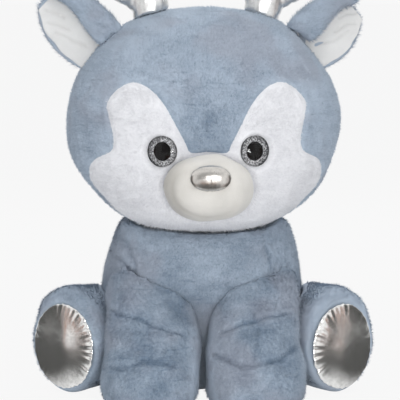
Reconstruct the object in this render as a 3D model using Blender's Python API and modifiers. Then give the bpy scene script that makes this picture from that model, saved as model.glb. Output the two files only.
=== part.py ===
"""A sitting plush deer with a big round head, stuffed limbs, foil antlers and plastic safety eyes.

Metres, +Z up. The deer looks along -Y and its own left side is at +X. The origin is the middle of
the seat, on the surface that the deer sits on. Every stuffed piece is a solid that stands for its
sewn cover and the loose fibre in it.
"""

import math
from typing import NamedTuple

import bmesh
import bpy
from mathutils import Matrix, Vector

# Shared fits
GAP = 0.0003
SEAM_GAP = 0.0004
FLOOR_CUT = 0.0005
OVERRUN = 0.02

# Body
TORSO_HEIGHT = 0.180
TORSO_WIDTH = 0.203
TORSO_DEPTH = 0.170
TORSO_CROWN = 0.006
SEAT_WIDTH = 0.112
SEAT_DEPTH = 0.072
SEAT_THICKNESS = 0.003
PELLET_BAG_WIDTH = 0.096
PELLET_BAG_DEPTH = 0.058
PELLET_BAG_HEIGHT = 0.042
NECK_AXIS_Y = -0.028
NECK_RADIUS = 0.042
NECK_DEPTH = 0.026
NECK_RISE = 0.0007
NECK_PLANE_Z = 0.164
HEAD_CLEARANCE = 0.0026
HEAD_NOD_DEGREES = (-4, 0, 8)

# Head
HEAD_FLOOR_Z = 0.168
HEAD_HEIGHT = 0.219
HEAD_WIDTH = 0.275
HEAD_DEPTH = 0.205
HEAD_AXIS_Y = -0.030
HEAD_TURN = math.radians(2.9)
NOD_PIVOT_Z = 0.262
PANEL_THICKNESS = 0.002
PANEL_BACK_Y = -0.076
MUZZLE_WIDTH = 0.090
MUZZLE_HEIGHT = 0.068
MUZZLE_REACH = 0.042
MUZZLE_SINK = 0.004
MUZZLE_Z = 0.215
NOSE_WIDTH = 0.042
NOSE_HEIGHT = 0.027
NOSE_THICKNESS = 0.018
NOSE_Z = 0.227

# Eyes
EYE_RADIUS = 0.0148
EYE_SPACING = 0.088
EYE_Z = 0.2495
EYE_YAW = math.radians(26.0)
EYE_SINK = 0.0022
EYE_FLANGE = 0.0016
EYE_FILM = 0.0006
EYE_DOME = 0.0078
EYE_EDGE = 0.0014
PUPIL_RADIUS = 0.0088
POST_RADIUS = 0.0028
POST_LENGTH = 0.020
WASHER_RADIUS = 0.0100
WASHER_THICKNESS = 0.0022
WASHER_DEPTH = 0.0075

# Ears
EAR_LENGTH = 0.072
EAR_WIDTH = 0.068
EAR_THICKNESS = 0.0075
EAR_ROLL_RADIUS = 0.0062
EAR_CUP = 0.006
EAR_ROOT_SHARES = (0.380, 0.817)
EAR_ROOT_Y = -0.028
EAR_LEANS = {"left": math.radians(57.0), "right": math.radians(50.0)}
EAR_LINING = 0.0024
LINING_SEAT = 0.0011
EAR_RIM = 0.005
LINING_START_SHARE = 0.09
LINING_END_SHARE = 0.93
EAR_SWEEPS = {"left": math.radians(30.0), "right": math.radians(10.0)}
EAR_CLEAR_DEGREES = {"left": (-20, 0, 25, 45), "right": (-40, -20, 0, 25)}

# Antlers
ANTLER_ROOT_SHARES = (0.187, 0.84)
ANTLER_ROOT_Y = -0.022
ANTLER_SHIFT = 0.004
ANTLER_HEIGHT = 0.100
ANTLER_LEAN = math.radians(9.0)
ANTLER_WIDTH = 0.048
ANTLER_THICKNESS = 0.034
TINE_LENGTH = 0.062
TINE_WIDTH = 0.034
TINE_RISE = 0.033
TINE_LEAN = math.radians(56.0)

# Front legs
FRONT_LEG_HEIGHT = 0.148
FRONT_LEG_WIDTH = 0.091
FRONT_LEG_DEPTH = 0.080
FRONT_LEG_X = 0.0495
FRONT_LEG_Y = -0.097
FRONT_HINGE_Y = -0.066
FRONT_HINGE_Z = 0.136
FRONT_CLEAR_DEGREES = (0, 35)

# Hind legs
HIP_X = 0.080
HIP_Y = 0.020
HIND_LEG_LENGTH = 0.098
HIND_LEG_WIDTH = 0.093
HIND_LEG_HEIGHT = 0.109
HIND_SPLAY = math.radians(37.0)
HIND_HINGE_X = 0.085
HIND_HINGE_Y = 0.050
HIP_ROUND = 0.004
SOLE_WIDTH = 0.085
SOLE_HEIGHT = 0.092
SOLE_THICKNESS = 0.005
SOLE_SEAT = 0.003
SOLE_DROP = 0.0065

# Tail
TAIL_LENGTH = 0.056
TAIL_WIDTH = 0.036
TAIL_THICKNESS = 0.022
TAIL_Z = 0.052
TAIL_Y = 0.066
TAIL_LEAN = math.radians(48.0)
TAIL_TUCK = 0.006
TAIL_CLEAR_DEGREES = (-25, 0, 8, 15)

# Counts and rounding of the stuffed forms
SEGMENTS = 12
BODY_SEGMENTS = 16
TURN_STEPS = 18
NECK_STEPS = 36
ROUND_SHARE = 0.94
MUZZLE_RINGS = 6
NOSE_RINGS = 4
DOME_STEPS = 6
EAR_COLUMNS = 8
EAR_ROWS = 4
GRID_HALF_SHARE = 0.5
SIDES = {"left": 1, "right": -1}


class Ring(NamedTuple):
    """One cross section of a stuffed form: its place along the form, its middle and its half sizes."""

    at: float
    middle_x: float
    middle_y: float
    half_x: float
    half_y: float


# Rings from the bottom up: height, half width, front and back, as shares of the torso's sizes
TORSO_SHARES = (
    (-0.003, 0.38, 0.24, 0.32),
    (0.055, 0.435, 0.33, 0.385),
    (0.245, 0.475, 0.41, 0.425),
    (0.495, 0.50, 0.53, 0.41),
    (0.70, 0.49, 0.62, 0.365),
    (0.89, 0.435, 0.60, 0.33),
    (1.0, 0.405, 0.54, 0.28),
)

# Rings from the chin up: height, half width, front and back, as shares of the head's sizes
HEAD_SHARES = (
    (0.004, 0.19, 0.31, 0.20),
    (0.05, 0.312, 0.445, 0.31),
    (0.15, 0.397, 0.512, 0.40),
    (0.28, 0.466, 0.53, 0.45),
    (0.43, 0.50, 0.522, 0.48),
    (0.58, 0.488, 0.485, 0.48),
    (0.73, 0.442, 0.41, 0.445),
    (0.87, 0.348, 0.295, 0.35),
    (0.96, 0.215, 0.17, 0.22),
)

# Rings from the paw up: height, middle outward and forward, half width and half depth
FRONT_LEG_SHARES = (
    (-0.0035, 0.02, 0.27, 0.43, 0.45),
    (0.07, 0.03, 0.29, 0.53, 0.555),
    (0.20, 0.02, 0.25, 0.535, 0.545),
    (0.42, -0.02, 0.05, 0.50, 0.495),
    (0.64, 0.02, -0.20, 0.49, 0.445),
    (0.84, 0.10, -0.45, 0.43, 0.37),
)

# Rings from the hip outward: place along the leg, half width, half height and rise of the underside
HIND_LEG_SHARES = (
    (-0.20, 0.28, 0.34, 0.13),
    (0.04, 0.41, 0.445, 0.03),
    (0.36, 0.435, 0.47, 0.01),
    (0.68, 0.46, 0.485, 0.004),
    (0.93, 0.50, 0.50, 0.0),
    (1.005, 0.45, 0.455, 0.045),
)

# Rings of a foot's sole from its back to its front: place in its thickness and half size
SOLE_SHARES = (
    (-0.5, 0.47),
    (-0.15, 0.50),
    (0.25, 0.45),
)

# Half of the white face panel's outline, from the bridge of the nose round to the chin
PANEL_SHARES = (
    (0.0, 0.365),
    (0.066, 0.362),
    (0.078, 0.405),
    (0.110, 0.480),
    (0.150, 0.570),
    (0.208, 0.635),
    (0.262, 0.660),
    (0.320, 0.630),
    (0.346, 0.570),
    (0.340, 0.480),
    (0.332, 0.395),
    (0.350, 0.362),
    (0.390, 0.325),
    (0.405, 0.265),
    (0.368, 0.165),
    (0.320, 0.085),
    (0.210, 0.010),
    (0.0, -0.060),
)

# Cross sections of the ear from root to tip: place along it, half width, and length of the flap
EAR_SHARES = (
    (-0.08, 0.40, 0.34),
    (0.0, 0.44, 0.375),
    (0.16, 0.50, 0.40),
    (0.34, 0.50, 0.325),
    (0.54, 0.46, 0.21),
    (0.74, 0.39, 0.14),
    (0.90, 0.28, 0.06),
    (1.0, 0.16, 0.02),
)

# Rings of an antler's lobe from its root: place along it, half width and half thickness
LOBE_SHARES = (
    (0.03, 0.32, 0.38),
    (0.26, 0.375, 0.43),
    (0.54, 0.475, 0.50),
    (0.78, 0.50, 0.50),
    (0.94, 0.36, 0.36),
)

# Rings of the tail from its root: place along it and half size
TAIL_SHARES = (
    (0.04, 0.32),
    (0.28, 0.47),
    (0.58, 0.48),
    (0.86, 0.31),
)

# Rings of the pellet bag from its flat underside: height and half size
BAG_SHARES = (
    (0.0, 0.44),
    (0.10, 0.50),
    (0.45, 0.49),
    (0.78, 0.38),
    (0.96, 0.20),
)

PLUSH = ("plush", (0.36, 0.44, 0.54), 0.95, 0.0)
WHITE_PLUSH = ("white_plush", (0.82, 0.82, 0.85), 0.95, 0.0)
VELOUR = ("velour", (0.78, 0.77, 0.72), 0.9, 0.0)
FOIL = ("foil_cloth", (0.70, 0.71, 0.74), 0.35, 0.8)
STUFFING = ("stuffing", (0.90, 0.90, 0.88), 1.0, 0.0)
COTTON = ("cotton", (0.55, 0.60, 0.68), 0.9, 0.0)
CLEAR = ("clear_plastic", (0.95, 0.97, 1.0), 0.05, 0.0)
GLITTER = ("glitter_film", (0.62, 0.63, 0.66), 0.3, 0.6)
BLACK = ("black_plastic", (0.01, 0.01, 0.012), 0.2, 0.0)
WASHER_PLASTIC = ("washer_plastic", (0.85, 0.85, 0.83), 0.4, 0.0)


def clear_scene():
    """Start from an empty file, as the script may be run twice."""
    for item in list(bpy.data.objects):
        bpy.data.objects.remove(item, do_unlink=True)


def make_collection(name):
    collection = bpy.data.collections.new(name)
    bpy.context.scene.collection.children.link(collection)
    return collection


def finish_material(finish):
    """One Principled material for each finish, made when it is first asked for."""
    name, color, roughness, metallic = finish
    material = bpy.data.materials.get(name)
    if material is None:
        material = bpy.data.materials.new(name)
        material.use_nodes = True
        shader = material.node_tree.nodes["Principled BSDF"]
        shader.inputs["Base Color"].default_value = (*color, 1.0)
        shader.inputs["Roughness"].default_value = roughness
        shader.inputs["Metallic"].default_value = metallic
    return material


def rest_place(empty):
    """Where a joint's empty lies before any joint is turned."""
    if empty is None:
        return Vector()
    return empty.location + (empty.matrix_parent_inverse.translation + rest_place(empty.parent))


def attach(item, parent):
    """Hang an item from a joint's empty without moving it."""
    if parent is not None:
        item.parent = parent
        item.matrix_parent_inverse = Matrix.Translation(-rest_place(parent))
    return item


def add_object(name, mesh, finish=None, parent=None):
    """Link a mesh as a named sub-part, or as a hidden cutter when it has no finish."""
    item = bpy.data.objects.new(name, mesh)
    if finish is None:
        cutters.objects.link(item)
        item.hide_render = True
        item.display_type = "WIRE"
    else:
        deer.objects.link(item)
        mesh.materials.append(finish_material(finish))
    return attach(item, parent)


def add_hinge(name, place, parent=None):
    """A joint's empty, with its origin on the joint's axis."""
    empty = bpy.data.objects.new(name, None)
    deer.objects.link(empty)
    empty.location = place
    return attach(empty, parent)


def mesh_from(bm, name, smooth=True):
    mesh = bpy.data.meshes.new(name)
    bm.to_mesh(mesh)
    bm.free()
    if smooth:
        mesh.shade_smooth()
    return mesh


def swollen_mesh(name, rings, bottom, top, segments=SEGMENTS, square=1.0, grow=0.0):
    """The cage of a stuffed form: a ball whose rings take the given places and half sizes.

    bottom and top are the places of its two poles. The cage is drawn a little large, so that the
    subdivided surface passes through the rings' true sizes. grow moves the whole surface outward.
    """
    bm = bmesh.new()
    bmesh.ops.create_uvsphere(bm, u_segments=segments, v_segments=len(rings) + 1, radius=1.0)
    swell = 3.0 / (2.0 + math.cos(2.0 * math.pi / segments))
    for vertex in bm.verts:
        latitude = math.acos(max(-1.0, min(1.0, -vertex.co.z)))
        index = round(latitude / math.pi * (len(rings) + 1)) - 1
        if index < 0:
            vertex.co = (rings[0].middle_x, rings[0].middle_y, bottom)
        elif index >= len(rings):
            vertex.co = (rings[-1].middle_x, rings[-1].middle_y, top)
        else:
            ring = rings[index]
            turn = math.atan2(vertex.co.y, vertex.co.x)
            across = math.copysign(abs(math.cos(turn)) ** square, math.cos(turn))
            deep = math.copysign(abs(math.sin(turn)) ** square, math.sin(turn))
            vertex.co.x = ring.middle_x + ring.half_x * swell * across
            vertex.co.y = ring.middle_y + ring.half_y * swell * deep
            vertex.co.z = ring.at
    bm.normal_update()
    for vertex in bm.verts:
        vertex.co += vertex.normal * grow
    return mesh_from(bm, name)


def soften(item, levels=1):
    """Subdivide a cage into its smooth form."""
    modifier = item.modifiers.new("soft form", "SUBSURF")
    modifier.levels = levels
    modifier.render_levels = levels
    return item


def cut(item, cutter):
    """Take a cutter's volume out of a sub-part."""
    modifier = item.modifiers.new("cut " + cutter.name, "BOOLEAN")
    modifier.operation = "DIFFERENCE"
    modifier.object = cutter
    modifier.solver = "EXACT"


def combine(item, other, operation):
    """Join a hidden guide to a sub-part, or keep only what lies inside the guide."""
    modifier = item.modifiers.new(operation.lower() + " " + other.name, "BOOLEAN")
    modifier.operation = operation
    modifier.object = other
    modifier.solver = "EXACT"


def block_mesh(name, low, high):
    """A box between two corners."""
    bm = bmesh.new()
    bmesh.ops.create_cube(bm, size=1.0)
    low, high = Vector(low), Vector(high)
    for vertex in bm.verts:
        half = vertex.co
        vertex.co = Vector(
            (low[i] + high[i]) / 2.0 + half[i] * (high[i] - low[i]) for i in range(3)
        )
    return mesh_from(bm, name, smooth=False)


def oval_mesh(name, half_x, half_y, low, high, segments=40):
    """An upright oval disc between two heights."""
    bm = bmesh.new()
    bmesh.ops.create_cone(
        bm, cap_ends=True, segments=segments, radius1=1.0, radius2=1.0, depth=1.0
    )
    for vertex in bm.verts:
        vertex.co.x *= half_x
        vertex.co.y *= half_y
        vertex.co.z = low if vertex.co.z < 0.0 else high
    mesh = mesh_from(bm, name)
    mesh.set_sharp_from_angle(angle=math.radians(30.0))
    return mesh


def turned(name, profile, finish=None, parent=None, steps=TURN_STEPS):
    """A body turned about its own Z from a profile of radius and height, listed top to bottom."""
    bm = bmesh.new()
    points = [bm.verts.new((radius, 0.0, height)) for radius, height in profile]
    for first, second in zip(points, points[1:]):
        bm.edges.new((first, second))
    if profile[0][0] > 0.0:
        bm.edges.new((points[-1], points[0]))
    item = add_object(name, mesh_from(bm, name, smooth=False), finish, parent)
    modifier = item.modifiers.new("turn", "SCREW")
    modifier.axis = "Z"
    modifier.steps = steps
    modifier.render_steps = steps
    modifier.use_merge_vertices = True
    modifier.merge_threshold = GAP / 10.0
    return item


def between(table, at, column):
    """A value of a table of shares, read off between the rows on either side."""
    for low, high in zip(table, table[1:]):
        if at <= high[0]:
            break
    portion = max(0.0, min(1.0, (at - low[0]) / (high[0] - low[0])))
    return low[column] + (high[column] - low[column]) * portion


def torso_mesh(name, grow=0.0):
    rings = []
    for height, width, front, back in TORSO_SHARES:
        middle, half = (back - front) * TORSO_DEPTH / 2.0, (back + front) * TORSO_DEPTH / 2.0
        rings.append(Ring(height * TORSO_HEIGHT, 0.0, middle, width * TORSO_WIDTH, half))
    top = TORSO_HEIGHT + TORSO_CROWN
    return swollen_mesh(name, rings, rings[0].at, top, BODY_SEGMENTS, ROUND_SHARE, grow)


def head_ring(height, width, front, back):
    """One ring of the head from its shares."""
    middle, half = (back - front) * HEAD_DEPTH / 2.0, (back + front) * HEAD_DEPTH / 2.0
    place = HEAD_FLOOR_Z + height * HEAD_HEIGHT
    return Ring(place, 0.0, HEAD_AXIS_Y + middle, width * HEAD_WIDTH, half)


def head_mesh(name, grow=0.0):
    rings = [head_ring(*shares) for shares in HEAD_SHARES]
    low, high = HEAD_FLOOR_Z, HEAD_FLOOR_Z + HEAD_HEIGHT
    return swollen_mesh(name, rings, low, high, BODY_SEGMENTS, ROUND_SHARE, grow)


def head_front(x, z):
    """How far forward the head's surface lies at a place seen from the front."""
    height = (z - HEAD_FLOOR_Z) / HEAD_HEIGHT
    ring = head_ring(height, *(between(HEAD_SHARES, height, column) for column in (1, 2, 3)))
    across = (abs(x) / ring.half_x) ** (1.0 / ROUND_SHARE)
    return ring.middle_y - ring.half_y * math.sqrt(1.0 - across**2) ** ROUND_SHARE


def muzzle_middle():
    return Vector((0.0, head_front(0.0, MUZZLE_Z) + MUZZLE_SINK, MUZZLE_Z))


def mirrored(mesh, side):
    """The mesh of a left piece, or its mirror image for the right side."""
    if side == "right":
        mesh.transform(Matrix.Diagonal((-1.0, 1.0, 1.0, 1.0)))
        mesh.flip_normals()
    return mesh


def placed(item, matrix, side="left"):
    """Place a piece by its left side matrix, mirrored for the right side."""
    flip = Matrix.Diagonal((SIDES[side], 1.0, 1.0, 1.0))
    item.matrix_basis = flip @ matrix @ flip
    return item


def turn_about(place, axis, angle):
    """The movement of a hinge through a point."""
    there = Matrix.Translation(Vector(place))
    return there @ Matrix.Rotation(angle, 4, Vector(axis)) @ there.inverted()


def frame_at(place, across, ahead, along):
    """A matrix with its origin at a place and its X, Y and Z along the given directions."""
    matrix = Matrix((across, ahead, along)).transposed().to_4x4()
    matrix.translation = Vector(place)
    return matrix


def on_head(shares, y):
    """A place on the head, from its shares of the head's width and height."""
    across, up = shares
    return Vector((across * HEAD_WIDTH, y, HEAD_FLOOR_Z + up * HEAD_HEIGHT))


def cut_in_swing(item, mesh, hinge, axis, swings):
    """Cut a limb by its larger neighbour, at rest and in each place that the limb swings to."""
    for number, degrees in enumerate(swings):
        cutter = add_object(f"{item.name}_swing_cutter_{number}", mesh, None, hinge.parent)
        cutter.matrix_basis = turn_about(rest_place(hinge), axis, -math.radians(degrees))
        cut(item, soften(cutter))


def make_floor():
    """The block below the surface that the deer sits on."""
    reach = TORSO_DEPTH * 2.0
    block = block_mesh("floor_cutter", (-reach, -reach, -OVERRUN), (reach, reach, 0.0))
    return add_object("floor_cutter", block)


def make_torso(floor, head_hinge):
    """The body: hollowed at the top for the head, at the neck's socket and at the pellets' pocket."""
    torso = soften(add_object("torso", torso_mesh("torso"), PLUSH))
    cut(torso, floor)
    head = head_mesh("torso_head_cutter", HEAD_CLEARANCE)
    cut_in_swing(torso, head, head_hinge, (1.0, 0.0, 0.0), HEAD_NOD_DEGREES)
    radius = NECK_RADIUS + GAP
    low, high = NECK_PLANE_Z - NECK_DEPTH, NECK_PLANE_Z + OVERRUN
    profile = ((0.0, high), (radius, high), (radius, low), (0.0, low))
    socket = turned("neck_socket_cutter", profile, steps=NECK_STEPS)
    socket.location = (0.0, NECK_AXIS_Y, 0.0)
    cut(torso, socket)
    half_x, half_y = SEAT_WIDTH / 2.0 + GAP, SEAT_DEPTH / 2.0 + GAP
    recess = oval_mesh("seat_cutter", half_x, half_y, -OVERRUN, SEAT_THICKNESS + GAP)
    cut(torso, add_object("seat_cutter", recess))
    cut(torso, soften(add_object("pellet_cutter", bag_mesh("pellet_cutter", GAP))))
    return torso


def make_seat():
    """The oval gusset under the body, which the deer rests on."""
    panel = oval_mesh("seat_panel", SEAT_WIDTH / 2.0, SEAT_DEPTH / 2.0, 0.0, SEAT_THICKNESS)
    return add_object("seat_panel", panel, COTTON)


def bag_mesh(name, grow=0.0):
    """The pellet bag's flat based dome, or the pocket for it, which opens into the seat."""
    floor = SEAT_THICKNESS + GAP * 2.0
    rings = []
    for height, share in BAG_SHARES:
        half_x, half_y = share * PELLET_BAG_WIDTH, share * PELLET_BAG_DEPTH
        rings.append(Ring(floor + height * PELLET_BAG_HEIGHT, 0.0, 0.0, half_x, half_y))
    if grow > 0.0:
        rings[0] = rings[0]._replace(at=SEAT_THICKNESS / 2.0)
    top = floor + PELLET_BAG_HEIGHT
    return swollen_mesh(name, rings, rings[0].at, top, grow=grow)


def make_pellet_bag():
    return soften(add_object("pellet_bag", bag_mesh("pellet_bag"), COTTON))


def make_neck(hinge):
    """The firm wad of stuffing in the neck, which turns in the body's socket."""
    high = NECK_PLANE_Z + NECK_RISE
    low = NECK_PLANE_Z - NECK_DEPTH + GAP
    profile = ((0.0, high), (NECK_RADIUS, high), (NECK_RADIUS, low), (0.0, low))
    wad = turned("neck_wad", profile, STUFFING, hinge, NECK_STEPS)
    wad.location = (0.0, NECK_AXIS_Y, 0.0)
    return wad


def make_neck_pad(hinge):
    """The guide of the round pad under the head, which rolls on the neck wad as the head nods."""
    radius = NOD_PIVOT_Z - (NECK_PLANE_Z + NECK_RISE + GAP)
    widest, steps = math.asin(NECK_RADIUS / radius), 5
    top = HEAD_FLOOR_Z + OVERRUN
    profile = [(0.0, top), (NECK_RADIUS, top)]
    for step in range(steps, -1, -1):
        turn = widest * step / steps
        profile.append((radius * math.sin(turn), NOD_PIVOT_Z - radius * math.cos(turn)))
    pad = turned("neck_pad_guide", profile, None, hinge, NECK_STEPS)
    pad.location = (0.0, NECK_AXIS_Y, 0.0)
    return pad


def panel_prism(name, spread, hinge):
    """The white face panel's outline, extruded from in front of the head to behind its cheeks."""
    curve = bpy.data.curves.new(name, "CURVE")
    curve.dimensions = "2D"
    curve.fill_mode = "BOTH"
    curve.resolution_u = 2
    front, back = HEAD_AXIS_Y - HEAD_DEPTH, PANEL_BACK_Y
    curve.extrude = (back - front) / 2.0 + spread
    curve.offset = spread
    half = [(x * HEAD_WIDTH, HEAD_FLOOR_Z + z * HEAD_HEIGHT) for x, z in PANEL_SHARES]
    outline = half + [(-x, z) for x, z in reversed(half[1:-1])]
    spline = curve.splines.new("BEZIER")
    spline.bezier_points.add(len(outline[1:]))
    for point, (x, z) in zip(spline.bezier_points, outline):
        point.co = (x, z, 0.0)
        point.handle_left_type = "AUTO"
        point.handle_right_type = "AUTO"
    spline.use_cyclic_u = True
    outliner = bpy.data.objects.new(name, curve)
    cutters.objects.link(outliner)
    graph = bpy.context.evaluated_depsgraph_get()
    mesh = bpy.data.meshes.new_from_object(outliner.evaluated_get(graph))
    bpy.data.objects.remove(outliner)
    bm = bmesh.new()
    bm.from_mesh(mesh)
    bmesh.ops.remove_doubles(bm, verts=bm.verts, dist=GAP / 30.0)
    bmesh.ops.recalc_face_normals(bm, faces=bm.faces)
    bm.to_mesh(mesh)
    bm.free()
    upright = Matrix.Rotation(math.pi / 2.0, 4, "X")
    mesh.transform(Matrix.Translation((0.0, (front + back) / 2.0, 0.0)) @ upright)
    return add_object(name, mesh, None, hinge)


def make_head(hinge):
    """The stuffed head, with the pad of its neck and the bed of its face panel."""
    head = soften(add_object("head", head_mesh("head"), PLUSH, hinge))
    combine(head, make_neck_pad(hinge), "UNION")
    bed = panel_prism("panel_bed_cutter", 0.0, hinge)
    core = head_mesh("head_core_cutter", -PANEL_THICKNESS - GAP)
    cut(bed, soften(add_object("head_core_cutter", core, None, hinge)))
    cut(head, bed)
    return head


def make_face_panel(hinge):
    """The white face panel, let in flush with the plush round it."""
    panel = soften(add_object("face_panel", head_mesh("face_panel"), WHITE_PLUSH, hinge))
    combine(panel, panel_prism("panel_guide", -GAP, hinge), "INTERSECT")
    inner = head_mesh("panel_inner_cutter", -PANEL_THICKNESS)
    cut(panel, soften(add_object("panel_inner_cutter", inner, None, hinge)))
    return panel


def cushion_mesh(name, width, reach, height, count, grow=0.0):
    """A rounded cushion about its own middle."""
    rings, end = [], height / 2.0
    for number in range(1, count + 1):
        turn = math.pi * number / (count + 1)
        size = math.sin(turn) ** ROUND_SHARE
        rings.append(Ring(-end * math.cos(turn), 0.0, 0.0, width / 2.0 * size, reach * size))
    return swollen_mesh(name, rings, -end, end, square=ROUND_SHARE, grow=grow)


def make_muzzle(hinge):
    """The velour muzzle, sewn on the face panel."""
    mesh = cushion_mesh("muzzle", MUZZLE_WIDTH, MUZZLE_REACH, MUZZLE_HEIGHT, MUZZLE_RINGS)
    muzzle = soften(add_object("muzzle", mesh, VELOUR, hinge))
    muzzle.location = muzzle_middle()
    face = head_mesh("muzzle_back_cutter", SEAM_GAP)
    cut(muzzle, soften(add_object("muzzle_back_cutter", face, None, hinge)))
    return muzzle


def make_nose(hinge):
    """The small stuffed foil nose on top of the muzzle."""
    middle = muzzle_middle()
    rise = (NOSE_Z - MUZZLE_Z) / (MUZZLE_HEIGHT / 2.0)
    mesh = cushion_mesh("nose", NOSE_WIDTH, NOSE_THICKNESS / 2.0, NOSE_HEIGHT, NOSE_RINGS)
    nose = soften(add_object("nose", mesh, FOIL, hinge))
    nose.location = (0.0, middle.y - MUZZLE_REACH * math.cos(math.asin(rise)), NOSE_Z)
    sizes = (MUZZLE_WIDTH, MUZZLE_REACH, MUZZLE_HEIGHT, MUZZLE_RINGS, SEAM_GAP)
    back = soften(add_object("nose_back_cutter", cushion_mesh("nose_back_cutter", *sizes), None, hinge))
    back.location = middle
    cut(nose, back)
    return nose


def eye_matrix():
    """The left eye's frame: its Z looks out of the head along the eye's own axis."""
    outward = Vector((math.sin(EYE_YAW), -math.cos(EYE_YAW), 0.0))
    across = Vector((math.cos(EYE_YAW), math.sin(EYE_YAW), 0.0))
    place = (EYE_SPACING / 2.0, head_front(EYE_SPACING / 2.0, EYE_Z), EYE_Z)
    return frame_at(place, across, outward.cross(across), outward)


def eye_profiles():
    """The turned profiles of one safety eye's pieces, in order from the front to the lock washer."""
    back = -EYE_SINK
    face = back + EYE_FLANGE
    film = face + GAP + EYE_FILM
    foot = film + GAP
    end = back - POST_LENGTH
    rim, hole, bore = EYE_RADIUS - GAP, PUPIL_RADIUS + GAP, POST_RADIUS + GAP
    dome = [(0.0, foot + EYE_EDGE + EYE_DOME)]
    for step in range(1, DOME_STEPS + 1):
        turn = math.pi / 2.0 * step / DOME_STEPS
        dome.append((EYE_RADIUS * math.sin(turn), foot + EYE_EDGE + EYE_DOME * math.cos(turn)))
    dome += [(EYE_RADIUS, foot), (0.0, foot)]
    ring = [(rim, film), (rim, face + GAP), (hole, face + GAP), (hole, film)]
    pupil = [(0.0, film), (PUPIL_RADIUS, film), (PUPIL_RADIUS, face + GAP), (0.0, face + GAP)]
    post = [(0.0, face), (rim, face), (rim, back), (POST_RADIUS, back)]
    post += [(POST_RADIUS, end + POST_RADIUS / 2.0), (POST_RADIUS / 2.0, end), (0.0, end)]
    near, far = back - WASHER_DEPTH, back - WASHER_DEPTH - WASHER_THICKNESS
    washer = [(WASHER_RADIUS, near), (WASHER_RADIUS, far), (bore, far), (bore, near)]
    seat, cavity = EYE_RADIUS + SEAM_GAP, WASHER_RADIUS + SEAM_GAP
    pocket = [(0.0, EYE_RADIUS), (seat, EYE_RADIUS), (seat, back - GAP), (bore, back - GAP)]
    pocket += [(bore, near + GAP), (cavity, near + GAP), (cavity, far - GAP), (bore, far - GAP)]
    pocket += [(bore, end - GAP), (0.0, end - GAP)]
    return dome, ring, pupil, post, washer, pocket


def make_eye(side, head, panel, hinge):
    """One safety eye: clear dome, glitter ring, pupil, post with its flange, and lock washer."""
    *profiles, pocket = eye_profiles()
    names = ("eye_dome", "eye_film", "eye_pupil", "eye_post", "eye_washer")
    finishes = (CLEAR, GLITTER, BLACK, BLACK, WASHER_PLASTIC)
    for name, profile, finish in zip(names, profiles, finishes):
        placed(turned(f"{name}_{side}", profile, finish, hinge), eye_matrix(), side)
    cutter = placed(turned(f"eye_pocket_cutter_{side}", pocket, None, hinge), eye_matrix(), side)
    cut(head, cutter)
    cut(panel, cutter)


def ear_surface(along, length):
    """A place on the ear's sheet: length runs from its lower edge, over the roll and along the flap."""
    half = between(EAR_SHARES, along, 1) * EAR_WIDTH
    start = half - EAR_ROLL_RADIUS
    past = length - half - start
    turn = max(0.0, min(math.pi, past / EAR_ROLL_RADIUS))
    straight = max(0.0, past - math.pi * EAR_ROLL_RADIUS)
    across = min(length - half, start) + EAR_ROLL_RADIUS * math.sin(turn) - straight
    ahead = EAR_ROLL_RADIUS * (1.0 - math.cos(turn)) + EAR_CUP * (across / EAR_WIDTH) ** 2
    return Vector((across, ahead, along * EAR_LENGTH))


def ear_sheet(name, low, high, lift, covers):
    """A grid shaped to the ear, from one place along it to another, covers giving its edges' lengths."""
    bm = bmesh.new()
    bmesh.ops.create_grid(bm, x_segments=EAR_COLUMNS, y_segments=EAR_ROWS, size=GRID_HALF_SHARE)
    for vertex in bm.verts:
        along = low + (high - low) * (vertex.co.y + GRID_HALF_SHARE)
        start, end = covers(along)
        vertex.co = ear_surface(along, start + (end - start) * (vertex.co.x + GRID_HALF_SHARE))
        vertex.co.y += lift
    bmesh.ops.recalc_face_normals(bm, faces=bm.faces)
    return mesh_from(bm, name)


def thicken(item, thickness):
    modifier = item.modifiers.new("thickness", "SOLIDIFY")
    modifier.thickness = thickness
    modifier.offset = 0.0
    modifier.use_even_offset = True
    return item


def back_covers(along):
    """The ear back's sheet runs from the lower edge over the roll to the flap's free edge."""
    half = between(EAR_SHARES, along, 1) * EAR_WIDTH
    flap = between(EAR_SHARES, along, 2) * EAR_WIDTH
    return 0.0, 2.0 * half + (math.pi - 1.0) * EAR_ROLL_RADIUS + flap


def lining_covers(along):
    """The lining runs from inside the lower edge to just under the flap."""
    half = between(EAR_SHARES, along, 1) * EAR_WIDTH
    return EAR_RIM, 2.0 * half - EAR_ROLL_RADIUS - EAR_RIM


def ear_matrix(lean):
    """An ear's frame, as for the left one: its Z runs out along the ear and its Y forward."""
    along = Vector((math.sin(lean), 0.0, math.cos(lean)))
    across = Vector((-math.cos(lean), 0.0, math.sin(lean)))
    return frame_at(on_head(EAR_ROOT_SHARES, EAR_ROOT_Y), across, along.cross(across), along)


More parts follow.
